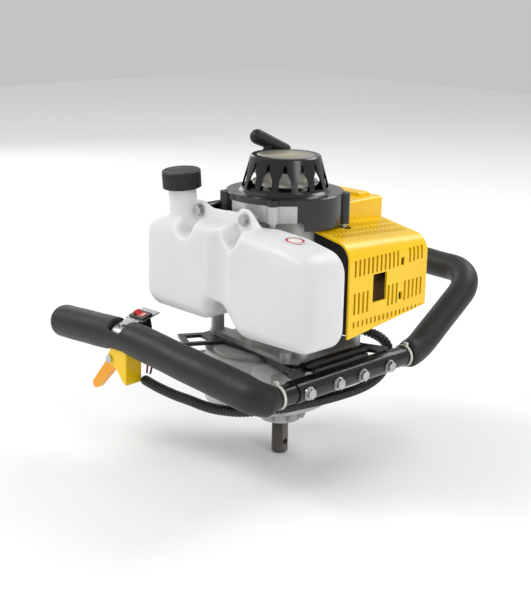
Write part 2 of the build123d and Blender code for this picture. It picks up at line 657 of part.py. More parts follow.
def clutch_housing():
    """Round aluminium bell over the clutch, on a foot with hollow posts."""
    foot = [(-86, -38), (56, -58), (76, -42), (76, 40), (68, 64), (-86, 38)]
    shell = cyl(CLUTCH_R, PLATE_TOP, CLUTCH_TOP) + plan(foot, PLATE_TOP, PLATE_TOP + BASE_T)
    for x, y, height in POSTS:
        shell += cyl(POST_R, PLATE_TOP, PLATE_TOP + height, x, y)
    shell -= box(-110, -58, -22, 22, PLATE_TOP, CLUTCH_TOP)
    shell -= cyl(CLUTCH_R - 4, PLATE_TOP + 4, CLUTCH_TOP - 4)
    shell -= cyl(PINION_R + 6, PLATE_TOP, PLATE_TOP + 4)
    shell -= cyl(CRANK_R + 5, CLUTCH_TOP - 4, CLUTCH_TOP)
    for x, y, height in POSTS:
        shell -= cyl(POST_SCREW_R + SCREW_GAP, PLATE_TOP, PLATE_TOP + height, x, y)
    shell -= cyl_y(6, -58, 58, SLEEVE_X - 14, PLATE_TOP)
    for k in range(3):
        window = box(CLUTCH_R - 8, CLUTCH_R + 4, -7, 7, PLATE_TOP + BASE_T + 6, CLUTCH_TOP - 10)
        shell -= Rot(0, 0, 80 + 40 * k) * window
    return shell


def clutch_shoes():
    """Centrifugal shoes and the spider that carries them on the crankshaft."""
    z0, z1 = DRUM_Z[0] + 8.5, DRUM_Z[1] - 2
    shoe_r = DRUM_R - 2.5 - 0.6
    shoes = ring(shoe_r, shoe_r - 11, z0, z1) - box(-60, 60, -2.5, 2.5, z0, z1)
    spider = cyl(13, z0, z1)
    for angle in (0, 90):
        spider += Rot(0, 0, angle) * box(-shoe_r + 4, shoe_r - 4, -2.2, 2.2, z0 + 3, z1 - 3)
    return shoes + spider - cyl(CRANK_R, z0, z1)


def crankcase_half(z0, z1, bearing):
    half = cyl(CRANKCASE_R, z0, z1) + box(-PAD_HALF, PAD_HALF, 0, CYL_Y0, z0, z1)
    half -= cyl(WEB_R + 4, CYL_Z - ROD_GAP - WEB_T - 4, CYL_Z + ROD_GAP + WEB_T + 4)
    half -= cyl_y(BORE_R + 1, 0, CYL_Y0, 0, CYL_Z)
    half -= cyl(CRANK_BEARING_R, *bearing)
    return half - cyl(CRANK_R + 4, z0, z1)


def crankcase_lower():
    return crankcase_half(CLUTCH_TOP, CYL_Z, CRANK_LOW)


def crankcase_upper():
    """Upper half of the crankcase, with the bell round the flywheel."""
    floor, wall = 4.0, 3.0
    case = crankcase_half(CYL_Z, CRANKCASE_TOP, CRANK_HIGH)
    collar = fan_ring() & wedge(*CAST_SECTOR)
    bell = cyl(BELL_R, CRANKCASE_TOP, HOUSING_Z0)
    bell -= cyl(BELL_R - wall, CRANKCASE_TOP + floor, HOUSING_Z0)
    bell -= cyl(CRANK_R + 4, CRANKCASE_TOP, CRANKCASE_TOP + floor)
    return case + bell + collar - box(-24, 24, 30, 64, CRANKCASE_TOP + 8, HOUSING_Z0 - 8)


def crankshaft():
    low, high = CYL_Z - ROD_GAP, CYL_Z + ROD_GAP
    shaft = cyl(CRANK_R, DRUM_Z[0] + 8.5, low) + cyl(CRANK_R, high, CRANK_TOP)
    for z0 in (low - WEB_T, high):
        web = cyl(WEB_R, z0, z0 + WEB_T)
        for s in (1, -1):
            web -= box(*sorted((s * (WEB_R - 12), s * WEB_R)), 4, WEB_R, z0, z0 + WEB_T)
        shaft += web
    return shaft


def piston():
    r = BORE_R - FIT
    wall, crown_t = 3.5, 5.0
    y0, y1 = PISTON_Y - SKIRT, PISTON_Y + CROWN
    body = cyl_y(r, y0, y1, 0, CYL_Z) - cyl_y(r - wall, y0, y1 - crown_t, 0, CYL_Z)
    bosses = cyl(7, CYL_Z - r, CYL_Z + r, 0, PISTON_Y) - cyl(8, CYL_Z - 7, CYL_Z + 7, 0, PISTON_Y)
    body += bosses & cyl_y(r - 1, y0, y1, 0, CYL_Z)
    for y in (y1 - 4, y1 - 8):
        body -= cyl_y(r + 1, y, y + 1.2, 0, CYL_Z) - cyl_y(r - 1, y, y + 1.2, 0, CYL_Z)
    return body - cyl(WRIST_R, CYL_Z - r, CYL_Z + r, 0, PISTON_Y)


def connecting_rod():
    """Rod, crankpin and wrist pin as they lie at top dead centre."""
    half, small_half = ROD_GAP - 2, 5.5
    rod = box(-4, 4, THROW, PISTON_Y, CYL_Z - 3, CYL_Z + 3)
    rod += cyl(10.5, CYL_Z - half, CYL_Z + half, 0, THROW)
    rod += cyl(7, CYL_Z - small_half, CYL_Z + small_half, 0, PISTON_Y)
    rod -= cyl(PIN_R, CYL_Z - half, CYL_Z + half, 0, THROW)
    rod -= cyl(WRIST_R, CYL_Z - small_half, CYL_Z + small_half, 0, PISTON_Y)
    crankpin = cyl(PIN_R, CYL_Z - ROD_GAP + GAP, CYL_Z + ROD_GAP - GAP, 0, THROW)
    wrist_half = BORE_R - 3
    wrist_pin = cyl(WRIST_R, CYL_Z - wrist_half, CYL_Z + wrist_half, 0, PISTON_Y)
    return [rod, crankpin, wrist_pin]


FINS = 9
FIN_T = 2.0
FIN_Y0 = CYL_Y0 + 10
PORT_Y = 76.0
PORT_HALF = 14.0
HEAD_T = 10.0


def cylinder():
    core = cyl_y(BORE_R + 6, CYL_Y0, CYL_Y1, 0, CYL_Z)
    core += box(-PAD_HALF, PAD_HALF, CYL_Y0, CYL_Y0 + 5, CYL_Z - 30, CYL_Z + 30)
    pitch = (CYL_Y1 - FIN_Y0 - FIN_T) / (FINS - 1)
    for k in range(FINS):
        y = FIN_Y0 + pitch * k
        core += box(6 - FIN_HALF, FIN_HALF - 6, y, y + FIN_T, CYL_Z - FIN_HALF, CYL_Z + FIN_HALF)
    core += box(-FIN_HALF, FIN_HALF, PORT_Y - PORT_HALF, PORT_Y + PORT_HALF, CYL_Z - 16, CYL_Z + 16)
    core -= cyl_y(BORE_R, CYL_Y0, CYL_Y1 - HEAD_T, 0, CYL_Z)
    core -= cyl_x(9, -FIN_HALF, FIN_HALF, PORT_Y, CYL_Z)
    return core - cyl_y(7, CYL_Y1 - HEAD_T, CYL_Y1, 0, CYL_Z)


PLUG_TOP = CYL_Y1 + 22


def spark_plug():
    body = cyl_y(7, CYL_Y1 - HEAD_T, CYL_Y1, 0, CYL_Z)
    body += Plane(origin=(0, CYL_Y1, CYL_Z), z_dir=(0, 1, 0)) * hex_head(19, 8)
    return body + cyl_y(5, CYL_Y1 + 8, PLUG_TOP, 0, CYL_Z)


COIL_Y = 52.0


def ignition_coil():
    """Coil beside the flywheel's rim, and the boot of its lead on the spark plug."""
    z = HOUSING_Z0 - 28
    coil = box(-18, 18, COIL_Y, COIL_Y + 8, z - 10, z + 10)
    coil += box(-13, 13, COIL_Y + 8, 74, z - 9, z + 9)
    boot = cyl_y(9, CYL_Y1 + 10, PLUG_TOP + 6, 0, CYL_Z) + cyl(7, CYL_Z, CYL_Z + 24, 0, CYL_Y1 + 22)
    return [coil, boot - cyl_y(5, CYL_Y1 + 8, PLUG_TOP, 0, CYL_Z)]


FAN_Z = HOUSING_Z0 + 4


def flywheel():
    rim_r, rim_z0 = BELL_R - 6, CRANKCASE_TOP + 8
    wheel = cyl(14, rim_z0, FAN_Z + 10) + ring(rim_r, rim_r - 9, rim_z0, FAN_Z)
    wheel += cyl(rim_r, FAN_Z - 4, FAN_Z) + cyl(FAN_R, FAN_Z, FAN_Z + 3)
    for k in range(18):
        wheel += Rot(0, 0, 20 * k) * box(36, FAN_R, -1.2, 1.2, FAN_Z, FAN_Z + 12)
    return wheel - cyl(CRANK_R, rim_z0, FAN_Z + 10)


CUP_Z = HOUSING_Z0 + 16


def starter_cup():
    cup = cyl(26, CUP_Z, CUP_Z + 10) - cyl(21, CUP_Z + 4, CUP_Z + 10)
    for k in range(6):
        cup += Rot(0, 0, 60 * k) * box(18, 22, -2, 2, CUP_Z + 4, CUP_Z + 10)
    return cup - cyl(CRANK_R, CUP_Z, CUP_Z + 10)


def wedge(from_angle, to_angle):
    """Upright sector of the space round the crankshaft, in degrees from +X."""
    reach = 300
    points = [(0, 0)] + [polar(reach, a) for a in (from_angle, (from_angle + to_angle) / 2, to_angle)]
    return plan(points, 0, 500)


def lug_posts(r, z0, z1):
    return [cyl(r, z0, z1, x, y) for x, y in LUGS]


CAST_SECTOR = (-106, -34)     # this part of the fan's ring is cast with the crankcase
FAN_FLOOR = 3.0


def fan_ring():
    """The whole ring round the fan, with its screw lugs and the two bosses for the tank."""
    z0, z1 = HOUSING_Z0, HOUSING_Z1
    wall = ring(HOUSING_R, HOUSING_R - HOUSING_WALL, z0, z1)
    wall += ring(HOUSING_R, BELL_R - 3, z0, z0 + FAN_FLOOR)
    for post in lug_posts(LUG_R, z0, z1):
        wall += post
    for x, z in EAR_BOLTS:
        boss = cyl_y(8, EAR_Y0 + EAR_T, -30, x, z)
        wall += boss & box(-HOUSING_R, HOUSING_R, EAR_Y0, 0, z0, z1)
    wall -= cyl(FAN_R + 2.5, z0 + FAN_FLOOR, z1)
    wall -= cyl(BELL_R - 3, z0, z0 + FAN_FLOOR)
    for x, z in EAR_BOLTS:
        wall -= cyl_y(2.5 + SCREW_GAP, EAR_Y0 + EAR_T, EAR_Y0 + EAR_T + 10, x, z)
    for hole in lug_posts(2.5 + SCREW_GAP, z0, z1):
        wall -= hole
    return wall


def fan_housing():
    """Black part of the ring round the fan, with a skirt on the side away from the tank."""
    first, last = CAST_SECTOR
    skirt = ring(HOUSING_R, HOUSING_R - HOUSING_WALL, SKIRT_Z, HOUSING_Z0)
    for (x, y), post in zip(LUGS, lug_posts(LUG_R, SKIRT_Z, HOUSING_Z0)):
        if y > 0:
            skirt += post
    skirt -= wedge(-165, -80) + wedge(-82, last + 8)
    for x, y in LUGS:
        skirt -= cyl(2.5 + SCREW_GAP, SKIRT_Z, HOUSING_Z0, x, y)
    wall = fan_ring() + skirt - cyl(BELL_R + GAP, SKIRT_Z, HOUSING_Z0)
    wall -= wedge(first - 0.3, last + 0.3)
    return max(wall.solids(), key=lambda s: s.volume)


# ---- recoil starter -------------------------------------------------------------------------------
FLANGE_TOP = HOUSING_Z1 + 7
CAGE_Z0 = FLANGE_TOP + 3
CAGE_WALL = 2.5
ROOF_T = 3.0
LABEL_R = 34.0
HUB_POST_R = 7.0
REEL_Z = (CAGE_Z0 + 5, CAGE_Z0 + 21)
REEL_R, REEL_ROPE_R = 38.0, 32.5
EXIT = Vector(-50, 12, 349)           # rope guide on the cage
PULL = Vector(0.09, 0.45, 0.89).normalized()
GUIDE_R = 6.5
ROPE_R = 2.0
GRIP_OUT = 26.0                       # from the guide to the handle's middle


def bottle_slot(angle):
    """One cage window: wide below, with shoulders and a narrow neck above."""
    z0, z1 = CAGE_Z0 + 2, CAGE_TOP - 7
    shoulder = z0 + 0.55 * (z1 - z0)
    half = [(7.6, z0), (6.2, shoulder - 3), (3.0, shoulder + 3), (1.2, z1)]
    points = half + [(-a, z) for a, z in reversed(half)]
    face = make_face(Polyline(*[(CAGE_R1 - 6, a, z) for a, z in points], close=True))
    return Rot(0, 0, angle) * extrude(face, amount=22, dir=(1, 0, 0))


def recoil_cover():
    """Black flange and slotted cage over the recoil starter."""
    inner0, inner1 = CAGE_R0 - CAGE_WALL, CAGE_R1 - CAGE_WALL
    cover = turned([(0, HOUSING_Z1), (HOUSING_R, HOUSING_Z1), (HOUSING_R, FLANGE_TOP - 1),
                    (HOUSING_R - 1, FLANGE_TOP), (CAGE_R0 + 3, FLANGE_TOP), (CAGE_R0, CAGE_Z0),
                    (CAGE_R1, CAGE_TOP - 1.5), (CAGE_R1 - 1.5, CAGE_TOP), (0, CAGE_TOP)])
    for post in lug_posts(LUG_R, HOUSING_Z1, FLANGE_TOP):
        cover += post
    mouth = Plane(origin=EXIT, z_dir=PULL)
    cover += mouth * Pos(0, 0, -7) * Cylinder(GUIDE_R, 14)
    cover -= turned([(0, HOUSING_Z1), (inner0, HOUSING_Z1), (inner0, CAGE_Z0),
                     (inner1, CAGE_TOP - ROOF_T), (0, CAGE_TOP - ROOF_T)])
    cover -= cyl(LABEL_R, CAGE_TOP - 0.8, CAGE_TOP)
    for k in range(CAGE_SLOTS):
        cover -= bottle_slot(360 / CAGE_SLOTS * (k + 0.2))
    cover += cyl(HUB_POST_R, REEL_Z[0] - 2, CAGE_TOP - ROOF_T)
    cover -= mouth * Pos(0, 0, -7) * Cylinder(ROPE_R + 0.6, 16)
    for hole in lug_posts(2.5 + SCREW_GAP, HOUSING_Z1, FLANGE_TOP):
        cover -= hole
    return max(cover.solids(), key=lambda s: s.volume)


def recoil_reel():
    z0, z1 = REEL_Z
    bore, flange = HUB_POST_R + FIT, 3.0
    return turned([(bore, z0), (REEL_R, z0), (REEL_R, z0 + flange), (REEL_ROPE_R - 4, z0 + flange),
                   (REEL_ROPE_R - 4, z1 - flange), (REEL_R - 2, z1 - flange), (REEL_R - 2, z1), (25, z1),
                   (25, z1 - 7), (bore, z1 - 7)])


def recoil_spring():
    """Clock spring in the reel's pocket: nested turns on a radial leaf."""
    z0, z1 = REEL_Z[1] - 6, REEL_Z[1] - 1
    spring = box(9, 22.4, -0.4, 0.4, z0, z1)
    for k in range(5):
        r = 9.0 + 3.0 * k
        spring += ring(r + 0.8, r, z0, z1)
    return spring


GRIP_AT = EXIT + PULL * GRIP_OUT


def starter_handle():
    """T-handle with its bar lying across the rope, slanted down to +X +Y."""
    lean = Vector(0.62, 0.66, -0.40)
    at = Plane(origin=GRIP_AT, x_dir=lean - PULL * lean.dot(PULL), z_dir=PULL)
    thick, thin, half = 9.0, 7.0, 18.0
    bar = at * Rot(0, 90, 0) * Cone(thick, thin, 2 * half)
    bar += at * Pos(-half, 0, 0) * Sphere(thick) + at * Pos(half, 0, 0) * Sphere(thin)
    bar += at * Pos(0, 0, -10) * Cone(5.5, 7, 14)
    return bar - at * Pos(0, 0, -14) * Cylinder(ROPE_R, 14)


def starter_rope():
    """The stretch of rope between the guide and the handle."""
    return rod(ROPE_R, EXIT - PULL * 6, GRIP_AT, 7)


# ---- fuel tank ------------------------------------------------------------------------------------
# Corners of the tank seen along Y: x, z and the corner's radius
TANK_OUTLINE = [(-127, 184, 24), (-18, 183, 16), (-12, 207, 10), (6, 207, 16), (34, 175, 26),
                (147, 177, 24), (147, 282, 26), (96, 292, 80), (20, 298, 40), (-30, 298, 40),
                (-100, 293, 20), (-126, 284, 20)]
VALLEY = (4, 34, 5)           # upright hollow down the tank's front: x, radius and depth
SCOOPS = [(-55, 278, 15), (19, 278, 15)]


def tank_block(inset):
    """The tank's outer form, or with an inset its inner form."""
    corners = [(x, 0, z) for x, z, _ in TANK_OUTLINE]
    face = make_face(FilletPolyline(*corners, radius=[r for _, _, r in TANK_OUTLINE], close=True))
    if inset:
        face = offset(face, amount=-inset, kind=Kind.ARC)
    y0, y1 = TANK_Y0 + inset, TANK_Y1 - inset
    block = Pos(0, y0, 0) * extrude(face, amount=y1 - y0, dir=(0, 1, 0))
    for y, r in ((y0, TANK_ROUND - inset), (y1, TANK_BACK_ROUND - inset)):
        block = fillet(block.edges().filter_by(lambda e: abs(e.center().Y - y) < 0.01), r)
    block -= cyl(BELL_R + TANK_CLEAR + inset, CRANKCASE_TOP - TANK_CLEAR - inset, SKIRT_Z)
    screw_reach = max(hypot(x, y) for x, y in LUGS) + LUG_HEAD_R
    block -= cyl(screw_reach + TANK_CLEAR - 0.6 + inset, SKIRT_Z - TANK_CLEAR - inset, HOUSING_Z1)
    x, r, depth = VALLEY
    block -= cyl(r + inset, 180, 320, x, TANK_Y0 - r + depth)
    for x, z, r in SCOOPS:
        scoop = Plane(origin=(x, EAR_Y0 - 0.5, z + r + 3), z_dir=(0, -1, -0.22))
        block -= scoop * Pos(0, 0, 36) * Cylinder(r + inset, 80)
    return block


NECK_AXIS = Vector(0, -sin(radians(NECK_TILT)), cos(radians(NECK_TILT)))


def neck_plane(height):
    return Plane(origin=Vector(*NECK_BASE) + NECK_AXIS * height, x_dir=(1, 0, 0), z_dir=NECK_AXIS)


def fuel_tank():
    tank = tank_block(0)
    ear = [(-75, 284), (-72, 305), (-64, 315), (-52, 315), (-38, 309), (2, 310), (10, 316),
           (22, 316), (30, 309), (42, 298), (52, 284)]
    tank += side(ear, EAR_Y0, EAR_Y0 + EAR_T)
    tank += neck_plane(NECK_L / 2) * Cylinder(NECK_R, NECK_L)
    tank -= tank_block(TANK_WALL)
    tank -= neck_plane(NECK_L / 2) * Cylinder(NECK_R - TANK_WALL, NECK_L)
    for x, z in EAR_BOLTS:
        tank -= cyl_y(3 + SCREW_GAP, EAR_Y0 - 1, EAR_Y0 + EAR_T, x, z)
    return max(tank.solids(), key=lambda s: s.volume)


def tank_bolts():
    bolts = []
    for x, z in EAR_BOLTS:
        at = Plane(origin=(x, EAR_Y0, z), z_dir=(0, -1, 0))
        head = at * hex_head(10, 5) + at * Pos(0, 0, 0.7) * Cylinder(7.5, 1.4)
        bolts.append(head + cyl_y(2.5, EAR_Y0, EAR_Y0 + EAR_T + 9, x, z))
    return bolts


GASKET_T = 1.6
CAP_ABOVE = 4.8       # the cap's top above the neck


def cap_gasket():
    return neck_plane(NECK_L + GAP + GASKET_T / 2) * (
        Cylinder(NECK_R + 1, GASKET_T) - Cylinder(NECK_R - 5, GASKET_T))


def fuel_cap():
    at = neck_plane(NECK_L + CAP_ABOVE)
    cap = at * Pos(0, 0, -CAP_H / 2) * Cylinder(CAP_R, CAP_H)
    cap = chamfer(cap.edges().sort_by(Axis(at.origin, at.z_dir))[-1], 1.2)
    for k in range(40):
        cap -= at * Rot(0, 0, 9 * k) * Pos(CAP_R + 0.4, 0, -CAP_H / 2 - 2) * Cylinder(1.0, CAP_H)
    depth = CAP_H - CAP_ABOVE + GASKET_T + 2 * GAP
    return cap - at * Pos(0, 0, depth / 2 - CAP_H) * Cylinder(NECK_R + 1.6, depth)


# ---- covers, muffler, intake ----------------------------------------------------------------------
def cover_block(inset):
    """The cover's outer form, or with an inset its inner form, open at -X, -Y and below."""
    past = 1 if inset else 0
    x0, x1, z0 = COVER_X0 - past, COVER_X - inset, COVER_Z0 - 20
    top = DECK_Z - inset
    edge = top - DECK_SLOPE * (x1 - DECK_X)
    points = [(x0, z0), (x1, z0), (x1, edge), (DECK_X, top), (x0, top)]
    outline = FilletPolyline(*[(x, 0, z) for x, z in points], radius=[0.5, 0.5, 22 - inset, 30, 0.5],
                             close=True)
    y0, y1 = COVER_Y0 - past, COVER_Y1 - inset
    block = Pos(0, y0, 0) * extrude(make_face(outline), amount=y1 - y0, dir=(0, 1, -DECK_TILT))
    hump = box(HUMP_X[0] + inset, HUMP_X[1] - inset, HUMP_Y0 + inset, y1, DECK_Z - 20, HUMP_Z - inset)
    rims = hump.edges().filter_by(lambda e: e.center().Z > DECK_Z and e.center().Y < y1 - 1)
    block += fillet(rims, 5 - inset)
    if not inset:
        ridge = box(HUMP_X[0], 27, y1 - 26, y1 - 8, HUMP_Z - 2, HUMP_Z + 4)
        block += fillet(ridge.edges().filter_by(Axis.Y), 2)
    below = Plane(origin=(0, COVER_Y0, COVER_Z0 - past), z_dir=(0, -0.12, 1))
    return block - below * Pos(0, 0, -50) * Box(500, 500, 100)


SLOT_ROWS = [(243, 262), (199, 224), (184, 191)]
SLOT_W = 3.2
SLOT_PITCH = 7.4
WINDOWS = [(29, 53, 208, 241), (78, 84, 244, 253), (76, 82, 203, 212)]


def cover_slots():
    """Vertical slots and windows of the +X face, and the grid of slots in the deck."""
    cuts = []
    for k in range(17):
        y = COVER_Y0 + 10 + SLOT_PITCH * k
        for z0, z1 in SLOT_ROWS:
            beside_window = any(a - 4 < y < b + 4 and z0 < d and z1 > c for a, b, c, d in WINDOWS)
            if not beside_window:
                rise = max(0, 0.12 * (y - 60))
                cuts.append(box(COVER_X - 8, COVER_X + 2, y - SLOT_W / 2, y + SLOT_W / 2, z0 + rise / 2, z1))
    for y0, y1, z0, z1 in WINDOWS:
        cuts.append(box(COVER_X - 8, COVER_X + 2, y0, y1, z0, z1))
    for row in range(3):
        x0 = 52 + 13 * row
        for k in range(18):
            y = COVER_Y0 + 8 + 7 * k
            cuts.append(box(x0, x0 + 10, y, y + 2.6, DECK_Z - 34, DECK_Z + 2))
    return cuts


def engine_cover():
    """Yellow cover over the cylinder and muffler."""
    shell = cover_block(0) - cover_block(COVER_T)
    shell -= cyl(BELL_R + 3, COVER_Z0 - 20, SKIRT_Z)
    shell -= cyl(HOUSING_R + 2, SKIRT_Z - 2, HUMP_Z + 10)
    for hole in lug_posts(LUG_R + 2.5, SKIRT_Z - 8, HUMP_Z + 10):
        shell -= hole
    shell -= cyl_y(13, COVER_Y1 - 6, COVER_Y1 + 1, 0, CYL_Z)
    shell -= cyl_y(9, COVER_Y1 - 10, COVER_Y1 + 1, 12, CYL_Z + 54)
    for cut in cover_slots():
        shell -= cut
    return max(shell.solids(), key=lambda s: s.volume)


def cylinder_shroud():
    """Black wall inside the cover's open side, grooved, round the bell."""
    y0 = COVER_Y0 + 2
    x0, t = CRANKCASE_R + 2, 2.0
    wall = box(x0, COVER_X, y0, y0 + t, COVER_Z0 + 4, DECK_Z) & cover_block(COVER_T + GAP)
    wall -= cyl(BELL_R + 1.5, CRANKCASE_TOP - 2, DECK_Z)
    wall -= cyl(HOUSING_R + 2, SKIRT_Z - 2, DECK_Z + 1)
    for z in range(192, 290, 16):
        wall -= box(x0, COVER_X, y0, y0 + 0.6, z, z + 1)
    wall -= box(82, 83, y0, y0 + 0.6, COVER_Z0, DECK_Z)
    return max(wall.solids(), key=lambda s: s.volume)


MUFFLER = (59, 101, 22, 112, 182, 252)
MUFFLER_T = 1.5


def muffler():
    """Pressed steel box on the exhaust port, hollow."""
    x0, x1, y0, y1, z0, z1 = MUFFLER
    t = MUFFLER_T
    hollow = box(x0 + t, x1 - t, y0 + t, y1 - t, z0 + t, z1 - t)
    can = fillet(box(*MUFFLER).edges(), 8) - fillet(hollow.edges(), 8 - t)
    can += cyl_x(11, FIN_HALF, x0 + 1, PORT_Y, CYL_Z)
    can += box(FIN_HALF, FIN_HALF + 3, PORT_Y - PORT_HALF, PORT_Y + PORT_HALF, CYL_Z - 16, CYL_Z + 16)
    can -= cyl_x(8, FIN_HALF, x0 + 4, PORT_Y, CYL_Z)
    return can - cyl_x(6, x1 - 3, x1 + 1, 41, 226)


INTAKE_X = -FIN_HALF
CARB_X = (INTAKE_X - 46, INTAKE_X - 10)
CARB_HALF = 17.0
CARB_Z = (CYL_Z - 18, CYL_Z + 17)
BORE_IN = 9.0
THROTTLE_X = INTAKE_X - 26
THROTTLE_SHAFT_R = 2.0


def carburetor():
    body = box(*CARB_X, PORT_Y - CARB_HALF, PORT_Y + CARB_HALF, *CARB_Z)
    body = fillet(body.edges().filter_by(Axis.X), 4)
    body += box(CARB_X[1], INTAKE_X, PORT_Y - PORT_HALF, PORT_Y + PORT_HALF, CYL_Z - 15, CYL_Z + 15)
    body += cyl(5, CARB_Z[0] - 9, CARB_Z[0], THROTTLE_X, PORT_Y)
    body -= cyl_x(BORE_IN, CARB_X[0], INTAKE_X, PORT_Y, CYL_Z)
    return body - cyl(THROTTLE_SHAFT_R + FIT, CYL_Z, CARB_Z[1], THROTTLE_X, PORT_Y)


def throttle_lever():
    """Butterfly, its shaft, and the lever that the cable pulls."""
    x, y, z = THROTTLE_X, PORT_Y, CARB_Z[1] + GAP
    lever = cyl(THROTTLE_SHAFT_R, CYL_Z - 7, z + 4, x, y) + cyl(5, z, z + 2, x, y)
    lever += box(x - 3, x + 3, y, y + 15, z, z + 2) + cyl(4, z, z + 2, x, y + 15)
    disc_r = BORE_IN - 0.5
    return lever + (cyl_x(disc_r, x - 0.6, x + 0.6, y, CYL_Z))


FILTER_Y = (PORT_Y - 43, PORT_Y + 33)
FILTER_Z = (CYL_Z - 34, CYL_Z + 40)
FILTER_WALL = 2.6
FILTER_X0 = CARB_X[0] - 32
SPLIT_X = CARB_X[0] - 4           # joint of the filter's base and cover


def filter_block(inset, x0, x1):
    block = box(x0, x1, FILTER_Y[0] + inset, FILTER_Y[1] - inset, FILTER_Z[0] + inset, FILTER_Z[1] - inset)
    return fillet(block.edges().filter_by(Axis.X), 12 - inset)


def air_filter_base():
    lip = filter_block(FILTER_WALL + GAP, SPLIT_X - 4, SPLIT_X)
    lip -= filter_block(FILTER_WALL + GAP + 2, SPLIT_X - 4, SPLIT_X)
    return filter_block(0, SPLIT_X, CARB_X[0]) + lip - cyl_x(BORE_IN, SPLIT_X, CARB_X[0], PORT_Y, CYL_Z)


def air_filter_element():
    return filter_block(FILTER_WALL + GAP + 2.6, SPLIT_X - 18, SPLIT_X - GAP)


CHOKE_YZ = (FILTER_Y[0] + 14, FILTER_Z[1] - 14)
CHOKE_R = 2.5


def air_filter_cover():
    shell = filter_block(0, FILTER_X0, SPLIT_X)
    shell = fillet(shell.edges().group_by(Axis.X)[0], 6)
    shell -= filter_block(FILTER_WALL, FILTER_X0 + FILTER_WALL, SPLIT_X)
    for k in range(6):
        z = FILTER_Z[0] + 16 + 7 * k
        shell -= box(FILTER_X0 - 1, FILTER_X0 + 4, FILTER_Y[0] + 30, FILTER_Y[1] - 12, z, z + 2.6)
    return shell - cyl_x(CHOKE_R + FIT, FILTER_X0 - 1, FILTER_X0 + 4, *CHOKE_YZ)


def choke_lever():
    y, z = CHOKE_YZ
    back, front = FILTER_X0 - 5, FILTER_X0 - 0.6
    knob = cyl_x(7, back, front, y, z) + box(back, front, y - 3, y + 3, z, z + 18)
    knob += cyl_x(3, back, front, y, z + 18)
    return knob + cyl_x(CHOKE_R, front, FILTER_X0 + 4, y, z)


def primer_bulb():
    """Rubber dome below the carburettor, over its stub."""
    z = CARB_Z[0] - 9
    dome = Pos(THROTTLE_X, PORT_Y, z) * Sphere(9) - box(-200, 200, 0, 200, z + 1.5, z + 20)
    return dome - cyl(5 + GAP, z - 4, z + 3, THROTTLE_X, PORT_Y)


# ---- fasteners ------------------------------------------------------------------------------------
def machine_screws():
    """Screws of the gearbox halves, posts, recoil cover, trigger and switch strap."""
    screws = [pivot_screw(), strap_screw()]
    for angle in CASE_LUGS:
        x, y = polar(CASE_LUG_R, angle)
        low = CASE_SPLIT_Z - 14
        shank = cyl(CASE_SCREW_R, low, CASE_SPLIT_Z + 13, CASE_X + x, y)
        screws.append(shank + Pos(CASE_X + x, y, low - 4) * hex_head(9, 4))
    for x, y, height in POSTS:
        top = PLATE_TOP + height
        screws.append(cyl(POST_SCREW_R, PLATE_Z + 0.2, top - 3, x, y))
    for x, y in LUGS:
        low = SKIRT_Z if y > 0 else HOUSING_Z0
        screws.append(cyl(2.5, low, FLANGE_TOP - 1, x, y) + cyl(LUG_HEAD_R, low - 5, low, x, y))
    return screws


NODES = [
    output_shaft, output_gear, idler_shaft, idler_wheel, drive_pinion, clutch_drum, gearbox_lower_case,
    gearbox_upper_case, gear_support_plate, shaft_bearings, output_seal, mounting_plate, front_sleeve,
    left_handlebar, right_handlebar, left_foam_grip, right_foam_grip, handle_bolts, zip_ties,
    throttle_housing, throttle_trigger, switch_bracket, switch_body, switch_rocker, cable_conduit,
    wiring, fuel_line, clutch_housing, clutch_shoes, crankcase_lower, crankcase_upper, crankshaft,
    piston, connecting_rod, cylinder, spark_plug, ignition_coil, flywheel, starter_cup, fan_housing,
    recoil_cover, recoil_reel, recoil_spring, starter_handle, starter_rope, fuel_tank, tank_bolts,
    cap_gasket, fuel_cap, engine_cover, cylinder_shroud, muffler, carburetor, throttle_lever,
    air_filter_base, air_filter_element, air_filter_cover, choke_lever, primer_bulb, machine_screws,
]


def main():
    os.makedirs("parts", exist_ok=True)
    for make in NODES:
        piece = make()
        solids = [s for item in (piece if isinstance(piece, list) else [piece]) for s in item.solids()]
        export_step(Compound(children=solids), f"parts/{make.__name__}.step")
    print("nodes", len(NODES))
    cords = {"conduit": CONDUIT, "red lead": RED_LEAD, "black lead": BLACK_LEAD, "plug lead": PLUG_LEAD,
             "fuel line": FUEL_LINE}
    for name, points in cords.items():
        path, bends = cord_path(points)
        print(name, "length", round(path.length), "radii", [round(r) for r in bends])


main()
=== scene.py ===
import math
import random

import bmesh
import bpy
import json
from mathutils import Matrix, Vector, noise


